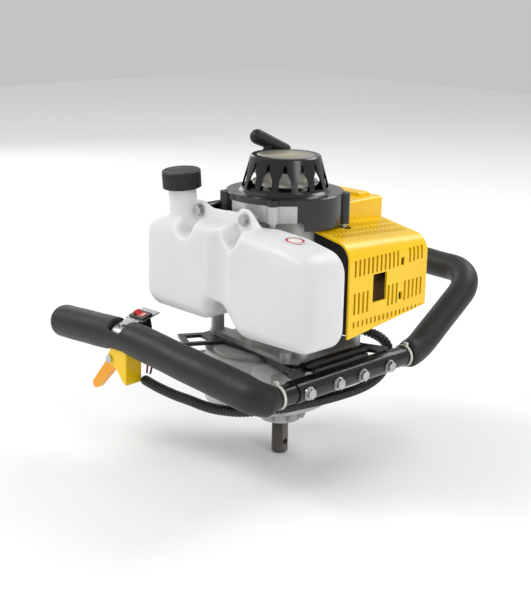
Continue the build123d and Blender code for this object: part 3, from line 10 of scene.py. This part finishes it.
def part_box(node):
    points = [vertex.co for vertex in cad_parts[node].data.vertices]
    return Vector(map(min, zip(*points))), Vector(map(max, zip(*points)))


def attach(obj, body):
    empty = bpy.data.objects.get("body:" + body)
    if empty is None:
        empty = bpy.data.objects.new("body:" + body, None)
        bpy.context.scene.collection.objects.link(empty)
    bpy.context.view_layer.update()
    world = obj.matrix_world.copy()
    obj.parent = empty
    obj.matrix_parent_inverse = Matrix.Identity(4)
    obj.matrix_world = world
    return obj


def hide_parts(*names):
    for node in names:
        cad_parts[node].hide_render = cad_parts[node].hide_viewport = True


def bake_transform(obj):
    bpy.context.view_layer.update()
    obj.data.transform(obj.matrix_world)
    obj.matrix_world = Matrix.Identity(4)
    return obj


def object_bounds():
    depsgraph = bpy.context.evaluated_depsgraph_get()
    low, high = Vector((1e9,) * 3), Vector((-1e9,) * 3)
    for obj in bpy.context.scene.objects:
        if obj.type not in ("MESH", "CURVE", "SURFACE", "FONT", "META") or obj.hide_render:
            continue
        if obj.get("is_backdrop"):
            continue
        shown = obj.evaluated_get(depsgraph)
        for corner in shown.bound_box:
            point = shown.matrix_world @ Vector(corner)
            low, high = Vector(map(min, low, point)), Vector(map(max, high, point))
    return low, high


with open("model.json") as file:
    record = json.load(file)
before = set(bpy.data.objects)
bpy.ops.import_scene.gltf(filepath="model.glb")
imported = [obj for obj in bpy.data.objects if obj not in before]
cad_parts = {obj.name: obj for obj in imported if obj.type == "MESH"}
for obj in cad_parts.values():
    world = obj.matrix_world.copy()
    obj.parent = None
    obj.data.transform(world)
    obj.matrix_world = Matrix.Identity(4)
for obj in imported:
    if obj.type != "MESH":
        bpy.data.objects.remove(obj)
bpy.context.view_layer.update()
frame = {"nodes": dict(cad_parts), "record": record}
nodes = frame["nodes"]
random.seed(7)
print("frame loaded")

# materials


def colour(text):
    # sRGB hex to linear
    parts = [int(text[i:i + 2], 16) / 255 for i in (0, 2, 4)]
    return tuple(p / 12.92 if p <= 0.04045 else ((p + 0.055) / 1.055) ** 2.4 for p in parts) + (1,)


def addNode(tree, kind, inputs=None, **settings):
    node = tree.nodes.new("ShaderNode" + kind)
    for key, value in settings.items():
        setattr(node, key, value)
    for key, value in (inputs or {}).items():
        if isinstance(value, bpy.types.NodeSocket):
            tree.links.new(value, node.inputs[key])
        else:
            node.inputs[key].default_value = value
    return node


def newMaterial(name):
    material = bpy.data.materials.new(name)
    material.use_nodes = True
    tree = material.node_tree
    shader = tree.nodes["Principled BSDF"]
    at = addNode(tree, "TexCoord").outputs["Object"]
    return material, tree, shader, at


def stretched(tree, at, scale):
    return addNode(tree, "Mapping", {"Vector": at, "Scale": scale}).outputs["Vector"]


def noiseOf(tree, at, scale, detail=4, rough=0.6):
    noise = addNode(tree, "TexNoise", {"Vector": at, "Scale": scale, "Detail": detail, "Roughness": rough})
    return noise.outputs["Fac"]


def ranged(tree, value, low, high, fromLow=0.3, fromHigh=0.7):
    return addNode(tree, "MapRange", {"Value": value, "From Min": fromLow, "From Max": fromHigh,
                                      "To Min": low, "To Max": high}).outputs["Result"]


def mixed(tree, fac, first, second, blend="MIX"):
    node = addNode(tree, "Mix", data_type="RGBA", blend_type=blend)
    for socket, value in ((node.inputs[0], fac), (node.inputs[6], first), (node.inputs[7], second)):
        if isinstance(value, bpy.types.NodeSocket):
            tree.links.new(value, socket)
        else:
            socket.default_value = value
    return node.outputs[2]


def bumped(tree, height, strength, distance, normal=None):
    inputs = {"Height": height, "Strength": strength, "Distance": distance}
    if normal is not None:
        inputs["Normal"] = normal
    return addNode(tree, "Bump", inputs).outputs["Normal"]


# One finish: two colours mixed by cloudy noise, dust in it, uneven gloss, and two scales of relief
finishes = {
    "shaft_steel": {"base": "26262a", "other": "3a3634", "metal": 0.6, "rough": (0.32, 0.5),
                    "grain": (900, 0.12), "cloud": 40, "stretch": (1, 1, 0.15), "worn": "8c8780"},
    "gear_steel": {"base": "8d8f92", "other": "77797c", "metal": 1.0, "rough": (0.25, 0.42),
                   "grain": (1200, 0.1), "cloud": 60, "stretch": (1, 1, 0.2)},
    "cast_aluminium": {"base": "bdbdbc", "other": "a5a3a0", "metal": 0.7, "rough": (0.42, 0.6),
                       "grain": (700, 0.35), "cloud": 35, "stretch": (1, 1, 1), "worn": "d6d6d6"},
    "zinc_steel": {"base": "c9ccd0", "other": "a8a9a3", "metal": 1.0, "rough": (0.22, 0.38),
                   "grain": (800, 0.12), "cloud": 120, "stretch": (1, 1, 1)},
    "muffler_steel": {"base": "5d5550", "other": "8a6f4e", "metal": 1.0, "rough": (0.35, 0.6),
                      "grain": (500, 0.2), "cloud": 30, "stretch": (1, 1, 1)},
    "frame_black": {"base": "070707", "other": "0c0c0d", "metal": 0.0, "rough": (0.2, 0.34),
                    "grain": (420, 0.12), "cloud": 25, "stretch": (1, 1, 1), "coat": 0.15},
    "black_gloss": {"base": "050506", "other": "0a0a0a", "metal": 0.0, "rough": (0.16, 0.28),
                    "grain": (300, 0.06), "cloud": 30, "stretch": (1, 1, 1), "coat": 0.3},
    "black_matte": {"base": "0c0c0d", "other": "131314", "metal": 0.0, "rough": (0.45, 0.6),
                    "grain": (1100, 0.3), "cloud": 40, "stretch": (1, 1, 1)},
    "yellow_plastic": {"base": "ffd400", "other": "ffcb00", "metal": 0.0, "rough": (0.26, 0.36),
                       "grain": (900, 0.07), "cloud": 20, "stretch": (1, 1, 1), "coat": 0.15},
    "trigger_yellow": {"base": "fdae00", "other": "f6a400", "metal": 0.0, "rough": (0.3, 0.4),
                       "grain": (900, 0.08), "cloud": 30, "stretch": (1, 1, 1)},
    "red_plastic": {"base": "d2160c", "other": "c0120a", "metal": 0.0, "rough": (0.18, 0.28),
                    "grain": (900, 0.05), "cloud": 60, "stretch": (1, 1, 1), "coat": 0.3},
    "nylon_white": {"base": "dedcd2", "other": "cfcdc2", "metal": 0.0, "rough": (0.35, 0.5),
                    "grain": (900, 0.08), "cloud": 60, "stretch": (1, 1, 1)},
    "rubber_black": {"base": "121212", "other": "1b1a19", "metal": 0.0, "rough": (0.55, 0.75),
                     "grain": (700, 0.25), "cloud": 60, "stretch": (1, 1, 1)},
    "cable_black": {"base": "0d0d0e", "other": "151515", "metal": 0.0, "rough": (0.28, 0.42),
                    "grain": (900, 0.1), "cloud": 60, "stretch": (1, 1, 1)},
    "lead_red": {"base": "b3170f", "other": "a2140d", "metal": 0.0, "rough": (0.3, 0.4),
                 "grain": (900, 0.05), "cloud": 60, "stretch": (1, 1, 1)},
    "fuel_hose": {"base": "8a7a34", "other": "75682c", "metal": 0.0, "rough": (0.3, 0.42),
                  "grain": (600, 0.08), "cloud": 80, "stretch": (1, 1, 1)},
    "filter_foam": {"base": "2b2b2b", "other": "3a3a3a", "metal": 0.0, "rough": (0.8, 0.95),
                    "grain": (500, 0.8), "cloud": 60, "stretch": (1, 1, 1)},
}


def makeFinish(name, v):
    material, tree, shader, at = newMaterial(name)
    spread = stretched(tree, at, v["stretch"])
    cloud = noiseOf(tree, spread, v["cloud"])
    base = mixed(tree, ranged(tree, cloud, 0, 1), colour(v["base"]), colour(v["other"]))
    if "worn" in v:   # bright rubbed edges
        edge = ranged(tree, addNode(tree, "NewGeometry").outputs["Pointiness"], 0, 0.7, 0.54, 0.62)
        base = mixed(tree, edge, base, colour(v["worn"]))
    dust = ranged(tree, noiseOf(tree, at, 260, 8, 0.7), 0, v.get("dust", 0.03), 0.6, 0.8)
    base = mixed(tree, dust, base, colour("b9b4aa"))
    tree.links.new(base, shader.inputs["Base Color"])
    low, high = v["rough"]
    smear = noiseOf(tree, spread, v["cloud"] * 3.5, 6)
    tree.links.new(ranged(tree, smear, low, high), shader.inputs["Roughness"])
    shader.inputs["Metallic"].default_value = v["metal"]
    shader.inputs["Coat Weight"].default_value = v.get("coat", 0)
    shader.inputs["Coat Roughness"].default_value = 0.12
    scale, strength = v["grain"]
    fine = bumped(tree, noiseOf(tree, spread, scale, 3), strength, 0.0004)
    tree.links.new(bumped(tree, noiseOf(tree, at, 45, 2), 0.1, 0.0006, fine), shader.inputs["Normal"])
    return material


materials = {name: makeFinish(name, values) for name, values in finishes.items()}

tankLook = {"skin": "fafaf8", "thin": "eeefed", "depth": 0.011, "weight": 0.75, "rough": (0.34, 0.48)}


def makeTankPlastic(v):
    # milky blow-moulded plastic: light enters it, and thin corners look greyer
    material, tree, shader, at = newMaterial("milkyPlastic")
    thick = ranged(tree, noiseOf(tree, stretched(tree, at, (1, 1, 0.5)), 9), 0, 1)
    tree.links.new(mixed(tree, thick, colour(v["skin"]), colour(v["thin"])), shader.inputs["Base Color"])
    shader.inputs["Subsurface Weight"].default_value = v["weight"]
    shader.inputs["Subsurface Scale"].default_value = v["depth"]
    shader.inputs["Subsurface Radius"].default_value = (1.0, 0.97, 0.93)
    tree.links.new(ranged(tree, noiseOf(tree, at, 60, 5), *v["rough"]), shader.inputs["Roughness"])
    peel = bumped(tree, noiseOf(tree, at, 130, 3), 0.12, 0.0005)
    tree.links.new(bumped(tree, noiseOf(tree, at, 14, 2), 0.25, 0.0015, peel), shader.inputs["Normal"])
    return material


foamLook = {"base": "101010", "other": "181818", "pores": 1500, "rough": (0.42, 0.58), "sheen": 0.08}


def makeFoam(v):
    # closed-cell foam: fine pores, a soft skin and a faint slow relief
    material, tree, shader, at = newMaterial("closedCellFoam")
    cloud = noiseOf(tree, at, 30, 6, 0.65)
    tree.links.new(mixed(tree, ranged(tree, cloud, 0, 1), colour(v["base"]), colour(v["other"])),
                   shader.inputs["Base Color"])
    tree.links.new(ranged(tree, cloud, *v["rough"]), shader.inputs["Roughness"])
    shader.inputs["Sheen Weight"].default_value = v["sheen"]
    shader.inputs["Sheen Roughness"].default_value = 0.45
    cells = addNode(tree, "TexVoronoi", {"Vector": at, "Scale": v["pores"]}).outputs["Distance"]
    pores = bumped(tree, cells, 0.22, 0.0003)
    tree.links.new(bumped(tree, noiseOf(tree, at, 55, 3), 0.2, 0.001, pores), shader.inputs["Normal"])
    return material


capLook = {"base": "151515", "other": "242322", "cells": 420, "rough": (0.4, 0.6)}


def makeCapPlastic(v):
    # black plastic with a pebbled top
    material, tree, shader, at = newMaterial("pebbledPlastic")
    cells = addNode(tree, "TexVoronoi", {"Vector": at, "Scale": v["cells"]}, feature="SMOOTH_F1")
    cells = cells.outputs["Distance"]
    tree.links.new(mixed(tree, ranged(tree, cells, 0, 1, 0.1, 0.6), colour(v["other"]), colour(v["base"])),
                   shader.inputs["Base Color"])
    tree.links.new(ranged(tree, noiseOf(tree, at, 90), *v["rough"]), shader.inputs["Roughness"])
    normal = addNode(tree, "NewGeometry").outputs["Normal"]
    facing = addNode(tree, "SeparateXYZ", {"Vector": normal}).outputs["Z"]
    onTop = ranged(tree, facing, 0, 0.9, 0.85, 0.95)
    bump = addNode(tree, "Bump", {"Height": cells, "Strength": onTop, "Distance": 0.0012})
    tree.links.new(bump.outputs["Normal"], shader.inputs["Normal"])
    return material


ropeLook = {"base": "1b1b1c", "other": "3b3a38", "scale": 420}


def makeRope(v):
    # braid: two crossing sets of strands
    material, tree, shader, at = newMaterial("braidedRope")
    heights = []
    for turn in (0.7, -0.7):
        turned = addNode(tree, "Mapping", {"Vector": at, "Rotation": (turn, turn, 0)}).outputs["Vector"]
        heights.append(addNode(tree, "TexWave", {"Vector": turned, "Scale": v["scale"], "Distortion": 0.4},
                               bands_direction="Z").outputs["Fac"])
    braid = addNode(tree, "Math", {0: heights[0], 1: heights[1]}, operation="MAXIMUM").outputs[0]
    tree.links.new(mixed(tree, braid, colour(v["base"]), colour(v["other"])), shader.inputs["Base Color"])
    shader.inputs["Roughness"].default_value = 0.85
    tree.links.new(bumped(tree, braid, 0.6, 0.0005), shader.inputs["Normal"])
    return material


# the middle colour is a painted highlight on the plate; the edge colour is its own grey
discLook = {"edge": "a9a69d", "middle": "d9cdb0", "radius": 0.034, "rough": (0.24, 0.4)}


def makeDisc(v):
    # blank plate, spun finish, with a painted highlight: lighter and warmer in the middle
    material, tree, shader, at = newMaterial("spunPlate")
    split = addNode(tree, "SeparateXYZ", {"Vector": at})
    flat = addNode(tree, "CombineXYZ", {"X": split.outputs["X"], "Y": split.outputs["Y"]}).outputs["Vector"]
    away = addNode(tree, "VectorMath", {0: flat}, operation="LENGTH").outputs["Value"]
    # painted highlight: the colour fades from the lit middle to the plate's grey at the rim
    highlightFade = ranged(tree, away, 0, 1, 0, v["radius"])
    tree.links.new(mixed(tree, highlightFade, colour(v["middle"]), colour(v["edge"])), shader.inputs["Base Color"])
    shader.inputs["Metallic"].default_value = 0.75
    turns = addNode(tree, "Math", {0: away, 1: 900.0}, operation="MULTIPLY").outputs[0]
    rings = addNode(tree, "TexNoise", {"W": turns, "Scale": 3.0, "Detail": 4.0}, noise_dimensions="1D")
    rings = rings.outputs["Fac"]
    tree.links.new(ranged(tree, rings, *v["rough"]), shader.inputs["Roughness"])
    tree.links.new(bumped(tree, rings, 0.15, 0.0002), shader.inputs["Normal"])
    return material


stickerLook = {"paper": "f1efec", "ring": "c4231b", "outer": 0.0105, "inner": 0.0078}


def makeSticker(v, centre):
    # plain ring on a round label
    material, tree, shader, at = newMaterial("ringLabel")
    away = addNode(tree, "VectorMath", {0: at, 1: centre}, operation="DISTANCE").outputs["Value"]
    inside = ranged(tree, away, 1, 0, v["inner"], v["inner"] + 0.0003)
    outside = ranged(tree, away, 0, 1, v["outer"], v["outer"] + 0.0003)
    plain = addNode(tree, "Math", {0: inside, 1: outside}, operation="ADD").outputs[0]
    ink = mixed(tree, noiseOf(tree, at, 900), colour(v["ring"]), colour("b51d16"))
    tree.links.new(mixed(tree, plain, ink, colour(v["paper"])), shader.inputs["Base Color"])
    tree.links.new(ranged(tree, noiseOf(tree, at, 300), 0.3, 0.42), shader.inputs["Roughness"])
    tree.links.new(bumped(tree, noiseOf(tree, at, 1200), 0.05, 0.0002), shader.inputs["Normal"])
    return material


materials["tank_white"] = makeTankPlastic(tankLook)
materials["foam_black"] = makeFoam(foamLook)
materials["rope_fibre"] = makeRope(ropeLook)
materials["lead_insulation"] = materials["cable_black"]
capPlastic = makeCapPlastic(capLook)
print("materials made")

# CAD nodes: finish, and soft edges where they catch light
edges = {"width": 0.0005, "segments": 2, "angle": 32}
unbevelled = {"output_gear", "idler_shaft", "idler_wheel", "drive_pinion", "recoil_spring", "wiring",
              "fuel_line"}


def dressNodes(v):
    slots = {part["node"]: part["material_slot"] for part in frame["record"]["subparts"]}
    for name, node in nodes.items():
        material = capPlastic if name == "fuel_cap" else materials[slots[name]]
        for place in node.material_slots:
            place.material = material
        if not node.material_slots:
            node.data.materials.append(material)
        if name in unbevelled:
            continue
        bevel = node.modifiers.new("Bevel", "BEVEL")
        bevel.width = v["width"]
        bevel.segments = v["segments"]
        bevel.limit_method = "ANGLE"
        bevel.angle_limit = math.radians(v["angle"])
        bevel.harden_normals = True


dressNodes(edges)
print("nodes dressed")

# new pieces


def finishPiece(name, mesh, material, body):
    piece = bpy.data.objects.new(name, mesh)
    bpy.context.scene.collection.objects.link(piece)
    mesh.materials.clear()
    mesh.materials.append(material)
    mesh.shade_smooth()
    if body:
        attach(piece, body)
    return piece


def softCopy(node, voxel, smoothing, name):
    # the node's form with its creases melted, as soft material has
    source = nodes[node]
    work = bpy.data.objects.new("work", source.data.copy())
    bpy.context.scene.collection.objects.link(work)
    remesh = work.modifiers.new("Remesh", "REMESH")
    remesh.mode = "VOXEL"
    remesh.voxel_size = voxel
    smooth = work.modifiers.new("Smooth", "SMOOTH")
    smooth.iterations = smoothing
    ready = work.evaluated_get(bpy.context.evaluated_depsgraph_get())
    mesh = bpy.data.meshes.new_from_object(ready)
    bpy.data.objects.remove(work)
    mesh.name = name
    return mesh


def dent(mesh, scale, depth):
    # slow uneven relief along the normals
    normals = [v.normal.copy() for v in mesh.vertices]
    for vertex, normal in zip(mesh.vertices, normals):
        vertex.co += normal * (noise.noise(vertex.co * scale) * depth)


tank = {"voxel": 0.0018, "smoothing": 7, "dentScale": 14, "dent": 0.0005}


def makeTank(v):
    mesh = softCopy("fuel_tank", v["voxel"] * (1), v["smoothing"], "softTank")
    dent(mesh, v["dentScale"], v["dent"])
    piece = finishPiece("softTank", mesh, materials["tank_white"], "frame")
    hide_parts("fuel_tank")


grips = {"voxel": 0.0016, "smoothing": 6, "dentScale": 32, "dent": 0.0006, "fill": 0.9}


def makeGrips(v):
    for node, name in (("left_foam_grip", "leftFoam"), ("right_foam_grip", "rightFoam")):
        mesh = softCopy(node, v["voxel"] * (1), v["smoothing"], name)
        dent(mesh, v["dentScale"], v["dent"])
        piece = finishPiece(name, mesh, materials["foam_black"], "frame")
        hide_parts(node)


makeTank(tank)
makeGrips(grips)
print("tank and grips made")


def cordCurve(name, points, radius):
    curve = bpy.data.curves.new(name, "CURVE")
    curve.dimensions = "3D"
    curve.bevel_depth = radius
    curve.bevel_resolution = 4
    curve.resolution_u = 12
    curve.use_fill_caps = True
    spline = curve.splines.new("NURBS")
    spline.points.add(len(points) - 1)
    for point, place in zip(spline.points, points):
        point.co = (*[p / 1000 for p in place], 1)
    spline.order_u = 3
    spline.use_endpoint_u = True
    return curve


def pathPoints(points, step):
    # even stations along the cord, as (place, tangent)
    curve = cordCurve("path", points, 0)
    holder = bpy.data.objects.new("path", curve)
    bpy.context.scene.collection.objects.link(holder)
    mesh = bpy.data.meshes.new_from_object(holder.evaluated_get(bpy.context.evaluated_depsgraph_get()))
    raw = [v.co.copy() for v in mesh.vertices]
    bpy.data.objects.remove(holder)
    lengths = [0]
    for a, b in zip(raw, raw[1:]):
        lengths.append(lengths[-1] + (b - a).length)
    count = max(2, int(lengths[-1] / step))
    stations, k = [], 0
    for i in range(count + 1):
        want = lengths[-1] * i / count
        while k < len(raw) - 2 and lengths[k + 1] < want:
            k += 1
        share = (want - lengths[k]) / max(1e-9, lengths[k + 1] - lengths[k])
        stations.append((raw[k].lerp(raw[k + 1], share), (raw[k + 1] - raw[k]).normalized()))
    return stations


def sweptMesh(name, stations, radiusAt, around=20):
    mesh = bmesh.new()
    rings = []
    side = stations[0][1].orthogonal().normalized()
    for i, (place, tangent) in enumerate(stations):
        side = (side - tangent * side.dot(tangent)).normalized()
        other = tangent.cross(side)
        r = radiusAt(i)
        ring = []
        for k in range(around):
            turn = 2 * math.pi * k / around
            ring.append(mesh.verts.new(place + (side * math.cos(turn) + other * math.sin(turn)) * r))
        rings.append(ring)
    for first, second in zip(rings, rings[1:]):
        for k in range(around):
            mesh.faces.new((first[k], first[(k + 1) % around], second[(k + 1) % around], second[k]))
    mesh.faces.new(list(reversed(rings[0])))
    mesh.faces.new(rings[-1])
    result = bpy.data.meshes.new(name)
    mesh.to_mesh(result)
    mesh.free()
    return result


conduit = {"crest": 0.0062, "valley": 0.0051, "step": 0.0012, "points": [
    (-112, -122, 92), (-93, -123, 90), (-70, -124, 89), (-48, -123, 88), (-27, -123, 89), (-7, -122, 88),
    (12, -121, 89), (30, -118, 91), (49, -114, 94), (64, -109, 98), (75, -100, 100), (81, -87, 100),
    (82, -70, 98), (80, -46, 95), (79, -13, 91), (79, 22, 89), (78, 56, 88), (74, 84, 89),
    (69, 107, 93), (66, 122, 105), (66, 124, 121), (63, 113, 136), (55, 96, 146), (38, 84, 150),
    (10, 78, 149), (-20, 77, 149), (-45, 81, 151), (-62, 90, 160), (-69, 98, 176), (-70, 101, 192)]}


def makeConduit(v):
    pattern = (v["valley"], v["valley"], v["crest"], v["crest"])
    along = pathPoints(v["points"], v["step"] * (1))
    mesh = sweptMesh("ribbedConduit", along, lambda i: pattern[i % 4], 18)
    piece = finishPiece("ribbedConduit", mesh, materials["cable_black"], "frame")
    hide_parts("cable_conduit")


leads = {
    "redLead": {"radius": 0.0012, "look": "lead_red", "points": [
        (-137, -106, 147), (-134, -107, 134), (-125, -110, 121), (-114, -114, 111), (-109, -120, 100)]},
    "blackLead": {"radius": 0.0012, "look": "cable_black", "points": [
        (-129, -105, 147), (-125, -104, 134), (-116, -107, 121), (-107, -112, 111), (-104, -119, 100)]},
    "plugLead": {"radius": 0.003, "look": "cable_black", "points": [
        (13, 74.6, 272), (15, 88, 272), (16, 106, 270), (13, 124, 264), (7, 136, 255), (0, 142, 244),
        (0, 142, 232.3)]},
}


def makeLeads(leads):
    for name, v in leads.items():
        piece = bpy.data.objects.new(name, cordCurve(name, v["points"], v["radius"]))
        bpy.context.scene.collection.objects.link(piece)
        piece.data.materials.append(materials[v["look"]])
        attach(piece, "frame")
        if name == "redLead":
            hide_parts("wiring")


rope = {"radius": 0.002, "pull": (0.0899, 0.4497, 0.8887), "reach": 0.0255, "inside": 0.006,
        "exit": (-0.05, 0.012, 0.349)}


def makeRopePiece(v):
    # one straight piece that starts inside the guide and runs out along the pull direction
    pull = Vector(v["pull"]).normalized()
    start, end = Vector(v["exit"]) - pull * v["inside"], Vector(v["exit"]) + pull * v["reach"]
    count = 60
    stations = [(start.lerp(end, i / count), pull) for i in range(count + 1)]
    mesh = sweptMesh("pullRope", stations, lambda i: v["radius"] * (1 if i % 2 else 0.96), 14)
    piece = finishPiece("pullRope", mesh, materials["rope_fibre"], None)
    start = Vector(v["exit"]) + pull * 0.001
    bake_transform(piece)
    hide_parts("starter_rope")


makeConduit(conduit)
makeLeads(leads)
makeRopePiece(rope)
print("cords made")


def discMesh(name, centre, axis, radius, thickness, rim=0.0003, around=96):
    mesh = bmesh.new()
    profile = [(0, 0), (radius, 0), (radius, thickness - rim), (radius - rim, thickness), (0, thickness)]
    verts = [mesh.verts.new((x, 0, z)) for x, z in profile]
    lines = [mesh.edges.new(pair) for pair in zip(verts, verts[1:])]
    bmesh.ops.spin(mesh, geom=verts + lines, cent=(0, 0, 0), axis=(0, 0, 1), angle=2 * math.pi, steps=around,
                   use_merge=True)
    bmesh.ops.remove_doubles(mesh, verts=mesh.verts, dist=1e-6)
    bmesh.ops.recalc_face_normals(mesh, faces=mesh.faces)
    turn = Vector((0, 0, 1)).rotation_difference(Vector(axis)).to_matrix().to_4x4()
    bmesh.ops.transform(mesh, matrix=Matrix.Translation(centre) @ turn, verts=mesh.verts)
    result = bpy.data.meshes.new(name)
    mesh.to_mesh(result)
    mesh.free()
    return result


plate = {"radius": 0.0335, "thickness": 0.0007, "recess": 0.0008}


def makePlate(v):
    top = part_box("recoil_cover")[1][2]
    coverTop = max(co.z for co in (vert.co for vert in nodes["recoil_cover"].data.vertices)
                   if math.hypot(co.x, co.y) < 0.0405 and co.z < top + 1)
    mesh = discMesh("topPlate", (0, 0, coverTop - v["recess"]), (0, 0, 1), v["radius"], v["thickness"])
    finishPiece("topPlate", mesh, makeDisc(discLook), "frame")


sticker = {"x": 0.092, "y": -0.078, "radius": 0.0118, "thickness": 0.0003, "gap": 0.0002}


def makeStickerPiece(v):
    bpy.context.view_layer.update()
    hit, place, normal, face = bpy.data.objects["softTank"].ray_cast((v["x"], v["y"], 1), (0, 0, -1))
    centre = place + normal * v["gap"]
    mesh = discMesh("ringLabel", centre, normal, v["radius"], v["thickness"], 0.0001, 64)
    finishPiece("ringLabel", mesh, makeSticker(stickerLook, centre), "frame")


makePlate(plate)
makeStickerPiece(sticker)
print("plate and label made")

# studio
studio = {"floorSize": 8, "floor": "ffffff", "world": "ffffff", "worldStrength": 0.55,
          "lights": [((-1.4, -1.6, 2.2), 1.3, 30), ((2.3, -0.3, 1.7), 1.2, 17), ((0.2, 1.9, 2.2), 1.4, 22),
                     ((-2.2, 0.8, 1.0), 1.2, 6)]}


def makeStudio(v):
    bpy.ops.mesh.primitive_plane_add(size=v["floorSize"], location=(0, 0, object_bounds()[0][2] - 0.0005))
    floor = bpy.context.object
    floor.name = "floor"
    material, tree, shader, at = newMaterial("paleFloor")
    shader.inputs["Base Color"].default_value = colour(v["floor"])
    shader.inputs["Roughness"].default_value = 0.9
    floor.data.materials.append(material)
    floor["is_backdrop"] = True
    world = bpy.data.worlds.new("pale")
    world.use_nodes = True
    sky = world.node_tree.nodes["Background"]
    sky.inputs["Color"].default_value = colour(v["world"])
    sky.inputs["Strength"].default_value = v["worldStrength"]
    bpy.context.scene.world = world
    for place, size, power in v["lights"]:
        lamp = bpy.data.lights.new("softbox", "AREA")
        lamp.shape = "DISK"
        lamp.size = size
        lamp.energy = power
        holder = bpy.data.objects.new("softbox", lamp)
        bpy.context.scene.collection.objects.link(holder)
        holder.location = place
        aim = Vector((0, 0, 0.22)) - Vector(place)
        holder.rotation_euler = aim.to_track_quat("-Z", "Y").to_euler()


view = {"place": (0.9411, -0.9701, 0.5745), "pitch": 15.8, "yaw": 45, "roll": 1.0, "lens": 70.8}


def makeCamera(v):
    camera = bpy.data.cameras.new("camera")
    camera.lens = v["lens"]
    camera.sensor_width = 36
    holder = bpy.data.objects.new("camera", camera)
    bpy.context.scene.collection.objects.link(holder)
    pitch, yaw, roll = (math.radians(v[key]) for key in ("pitch", "yaw", "roll"))
    turn = Matrix.Rotation(yaw, 4, "Z") @ Matrix.Rotation(math.pi / 2 - pitch, 4, "X")
    turn = turn @ Matrix.Rotation(roll, 4, "Z")
    holder.matrix_world = Matrix.Translation(v["place"]) @ turn
    bpy.context.scene.camera = holder


makeStudio(studio)
makeCamera(view)
bpy.context.scene.view_settings.view_transform = "Standard"
